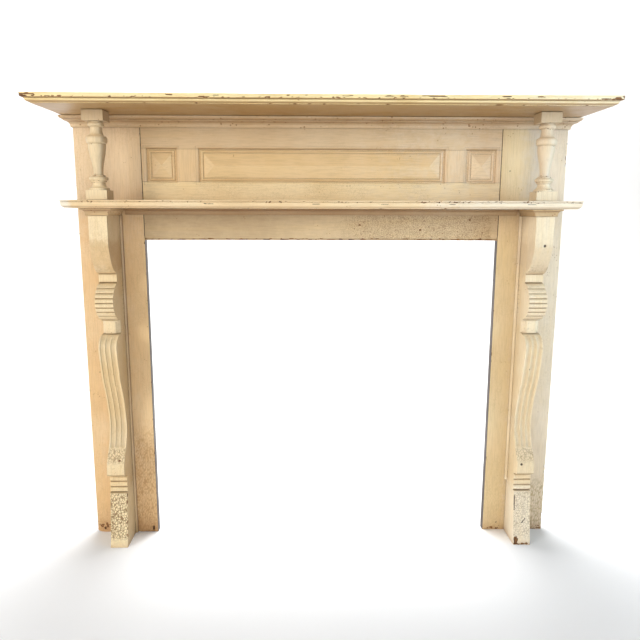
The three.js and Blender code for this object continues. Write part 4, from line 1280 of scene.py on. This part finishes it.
def board(name, side, seed):
    worn = Worn(*board_shape(name, side), seed)
    x, _, z = worn.rest.T
    front = on_front(worn)
    worn.crackle(board_crackle(x, z, side) * front * 0.85, (6 * MM, 40 * MM, 7 * MM), 0.45 * MM, 0.22)
    joint = side * (OPENING_EDGE + 0.8 * MM)
    joint_foot = (joint, BOARD_FACE, OPENING_TOP + 12 * MM)
    worn.split(joint_foot, (joint, BOARD_FACE, FRIEZE_TOP), 1.2 * MM, 1.5 * MM, 0.4)
    out = side * x
    edge_zone = rise(np.minimum(out - OPENING_EDGE, BOARD_EDGE - out), 4 * MM, 1.5 * MM) * front
    worn.flakes(edge_zone * 0.03, (5 * MM, 9 * MM, 8 * MM), 0.8 * MM)
    foot = rise(z, 16 * MM, 3 * MM) * front
    worn.flakes(foot * 0.16, (7 * MM, 9 * MM, 4 * MM), 0.8 * MM)
    if side < 0:
        slot = (np.abs(out - OPENING_EDGE - SLOT_FROM_OPENING - SLOT_WIDTH / 2) < SLOT_WIDTH / 2 + 0.1 * MM)
        slot &= (z < SLOT_HEIGHT + 0.1 * MM) & (front > 0.5)
        worn.sink[slot] = SLOT_DEPTH
        worn.dark[slot] = 1
        corner = rise(out, 0.640, 0.665) * rise(z, 45 * MM, 14 * MM)
        worn.flakes(corner * 0.34 * front, (8 * MM, 9 * MM, 6 * MM), 0.6 * MM)
        worn.dent((LEFT_BOARD_SPOT[0], BOARD_FACE, LEFT_BOARD_SPOT[1]), 2.2 * MM, 0.8 * MM)
    else:
        for chip_z in RIGHT_EDGE_CHIPS:
            worn.chip((BOARD_EDGE - 0.5 * MM, BOARD_FACE, chip_z), (3.5 * MM, 5 * MM, 6 * MM), 1.6 * MM)
        for spot_x, spot_z in RIGHT_BOARD_SPOTS:
            worn.dent((spot_x, BOARD_FACE, spot_z), 2.3 * MM, 0.8 * MM)
    worn.undulate((60 * MM, 60 * MM, 240 * MM), 0.5 * MM)
    worn.round_arrises(0.5)
    return worn


def sliced_node(name, step_x, step_z):
    """The triangles of one solid, cut along planes so that none is long and thin."""
    mesh = bmesh.new()
    mesh.from_mesh(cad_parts[name].data)
    bmesh.ops.remove_doubles(mesh, verts=mesh.verts, dist=0.02 * MM)
    low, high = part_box(name)
    for axis, start, end, step in ((0, low.x, high.x, step_x), (2, low.z, high.z, step_z)):
        normal = [0, 0, 0]
        normal[axis] = 1
        for place in np.arange(start + step / 2, end, step):
            point = [0, 0, 0]
            point[axis] = place
            everything = mesh.verts[:] + mesh.edges[:] + mesh.faces[:]
            bmesh.ops.bisect_plane(mesh, geom=everything, plane_co=point, plane_no=normal, dist=0.01 * MM)
    bmesh.ops.triangulate(mesh, faces=mesh.faces)
    mesh.verts.index_update()
    points = np.array([point.co[:] for point in mesh.verts])
    triangles = np.array([[corner.index for corner in face.verts] for face in mesh.faces])
    mesh.free()
    return points, triangles


def header():
    """The frieze's lower rail, the header over the opening: flaked on the right, worn along its edge."""
    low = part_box("frieze_bottom_rail")[0]
    def flaking(x, z):
        return rise(x, 0.0, 0.14) * rise(x, 0.50, 0.48) * rise(z, 0.984, 0.970)
    def wanted(middles):
        x, y, z = middles.T
        on_face = y < BOARD_FACE + 1.5 * MM
        size = np.where(flaking(x, z) > 0.05, 2.0 * MM, 11 * MM)
        size = np.where(z < low.z + 6 * MM, 2.4 * MM, size)
        return np.where(on_face, size, 14 * MM)
    worn = Worn(*refine(*sliced_node("frieze_bottom_rail", 9 * MM, 9 * MM), wanted), 31)
    x, y, z = worn.rest.T
    front = on_front(worn)
    worn.crackle(flaking(x, z) * front * 0.65, (5.5 * MM, 30 * MM, 4.5 * MM), 0.4 * MM, 0.20)
    worn.flakes(flaking(x, z) * front * 0.02, (4 * MM, 7 * MM, 3 * MM), 0.4 * MM)
    for spot_x, spot_z in HEADER_CHIPS:
        worn.chip((spot_x, BOARD_FACE, spot_z), (3.5 * MM, 8 * MM, 2.5 * MM), 0.7 * MM)
    lower_edge = rise(z, low.z + 7 * MM, low.z + 3 * MM) * rise(y, BOARD_FACE + 6 * MM, BOARD_FACE + 3 * MM)
    dark_line = rise(np.abs(z - low.z - 2.6 * MM), 3.4 * MM, 1.6 * MM) * front
    worn.crack = np.maximum(worn.crack, dark_line * (0.75 + 0.25 * noise(worn.rest, 60 * MM, 37, 2)))
    # Painted shade under the lower shelf, darker left of the middle
    shade_under_shelf = rise(x, 0.02, -0.20) * 0.34 - rise(x, -0.30, -0.50) * 0.10
    worn.crack = np.maximum(worn.crack, shade_under_shelf * rise(z, 0.992, 0.975) * front)
    worn.flakes(lower_edge * 0.30, (9 * MM, 9 * MM, 3 * MM), 0.8 * MM)
    worn.undulate((240 * MM, 60 * MM, 60 * MM), 0.4 * MM)
    worn.round_arrises(0.4, 1)
    return worn


# What keeps its solid of the frame, with soft edges and a paint of its own
KEPT = {
    "frieze": ["frieze_top_rail"],
    "cornice": ["cornice_front", "cornice_return_left", "cornice_return_right"],
    "bed_mould": ["shelf_bed_mould"],
    "upright": ["frieze_mullion_left", "frieze_mullion_right", "frieze_stile_left", "frieze_stile_right"],
    "panel": ["panel_left", "panel_center", "panel_right"],
    "cap": ["bracket_cap_left", "bracket_cap_right"],
    "left_bead": ["corner_bead_left"],
    "right_leg": ["corner_bead_right"],
}


def dress_node(name, paint, edge=0.6 * MM):
    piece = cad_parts[name]
    piece.data.materials.clear()
    piece.data.materials.append(paints[paint])
    weld = piece.modifiers.new("weld", "WELD")
    weld.merge_threshold = 0.02 * MM
    bevel = piece.modifiers.new("bevel", "BEVEL")
    bevel.width = edge
    bevel.segments = 2
    bevel.limit_method = "ANGLE"
    bevel.angle_limit = math.radians(50)
    bevel.harden_normals = True


add_camera()
add_lights()
add_floor()
for paint_name, names in KEPT.items():
    for node_name in names:
        dress_node(node_name, paint_name)

top_shelf().build("worn_top_shelf", "shelf", "shelf_paint", ["top_shelf"])
lower_shelf().build("worn_lower_shelf", "lower_shelf", "frieze_paint", ["lower_shelf"])
header().build("worn_header", "header", "frieze_paint", ["frieze_bottom_rail"])
for side_name, side_sign, leg_seed in (("left", -1, 101), ("right", 1, 201)):
    board(f"pilaster_board_{side_name}", side_sign, leg_seed + 40).build(
        f"worn_board_{side_name}", f"board_{side_name}", "board_paint", [f"pilaster_board_{side_name}"])
    bracket(side_sign, leg_seed).build(
        f"carved_bracket_{side_name}", f"{side_name}_leg", "carved_paint", [f"bracket_{side_name}"])
    baluster(f"baluster_{side_name}", leg_seed + 70).build(
        f"turned_baluster_{side_name}", f"{side_name}_leg", "carved_paint", [f"baluster_{side_name}"])
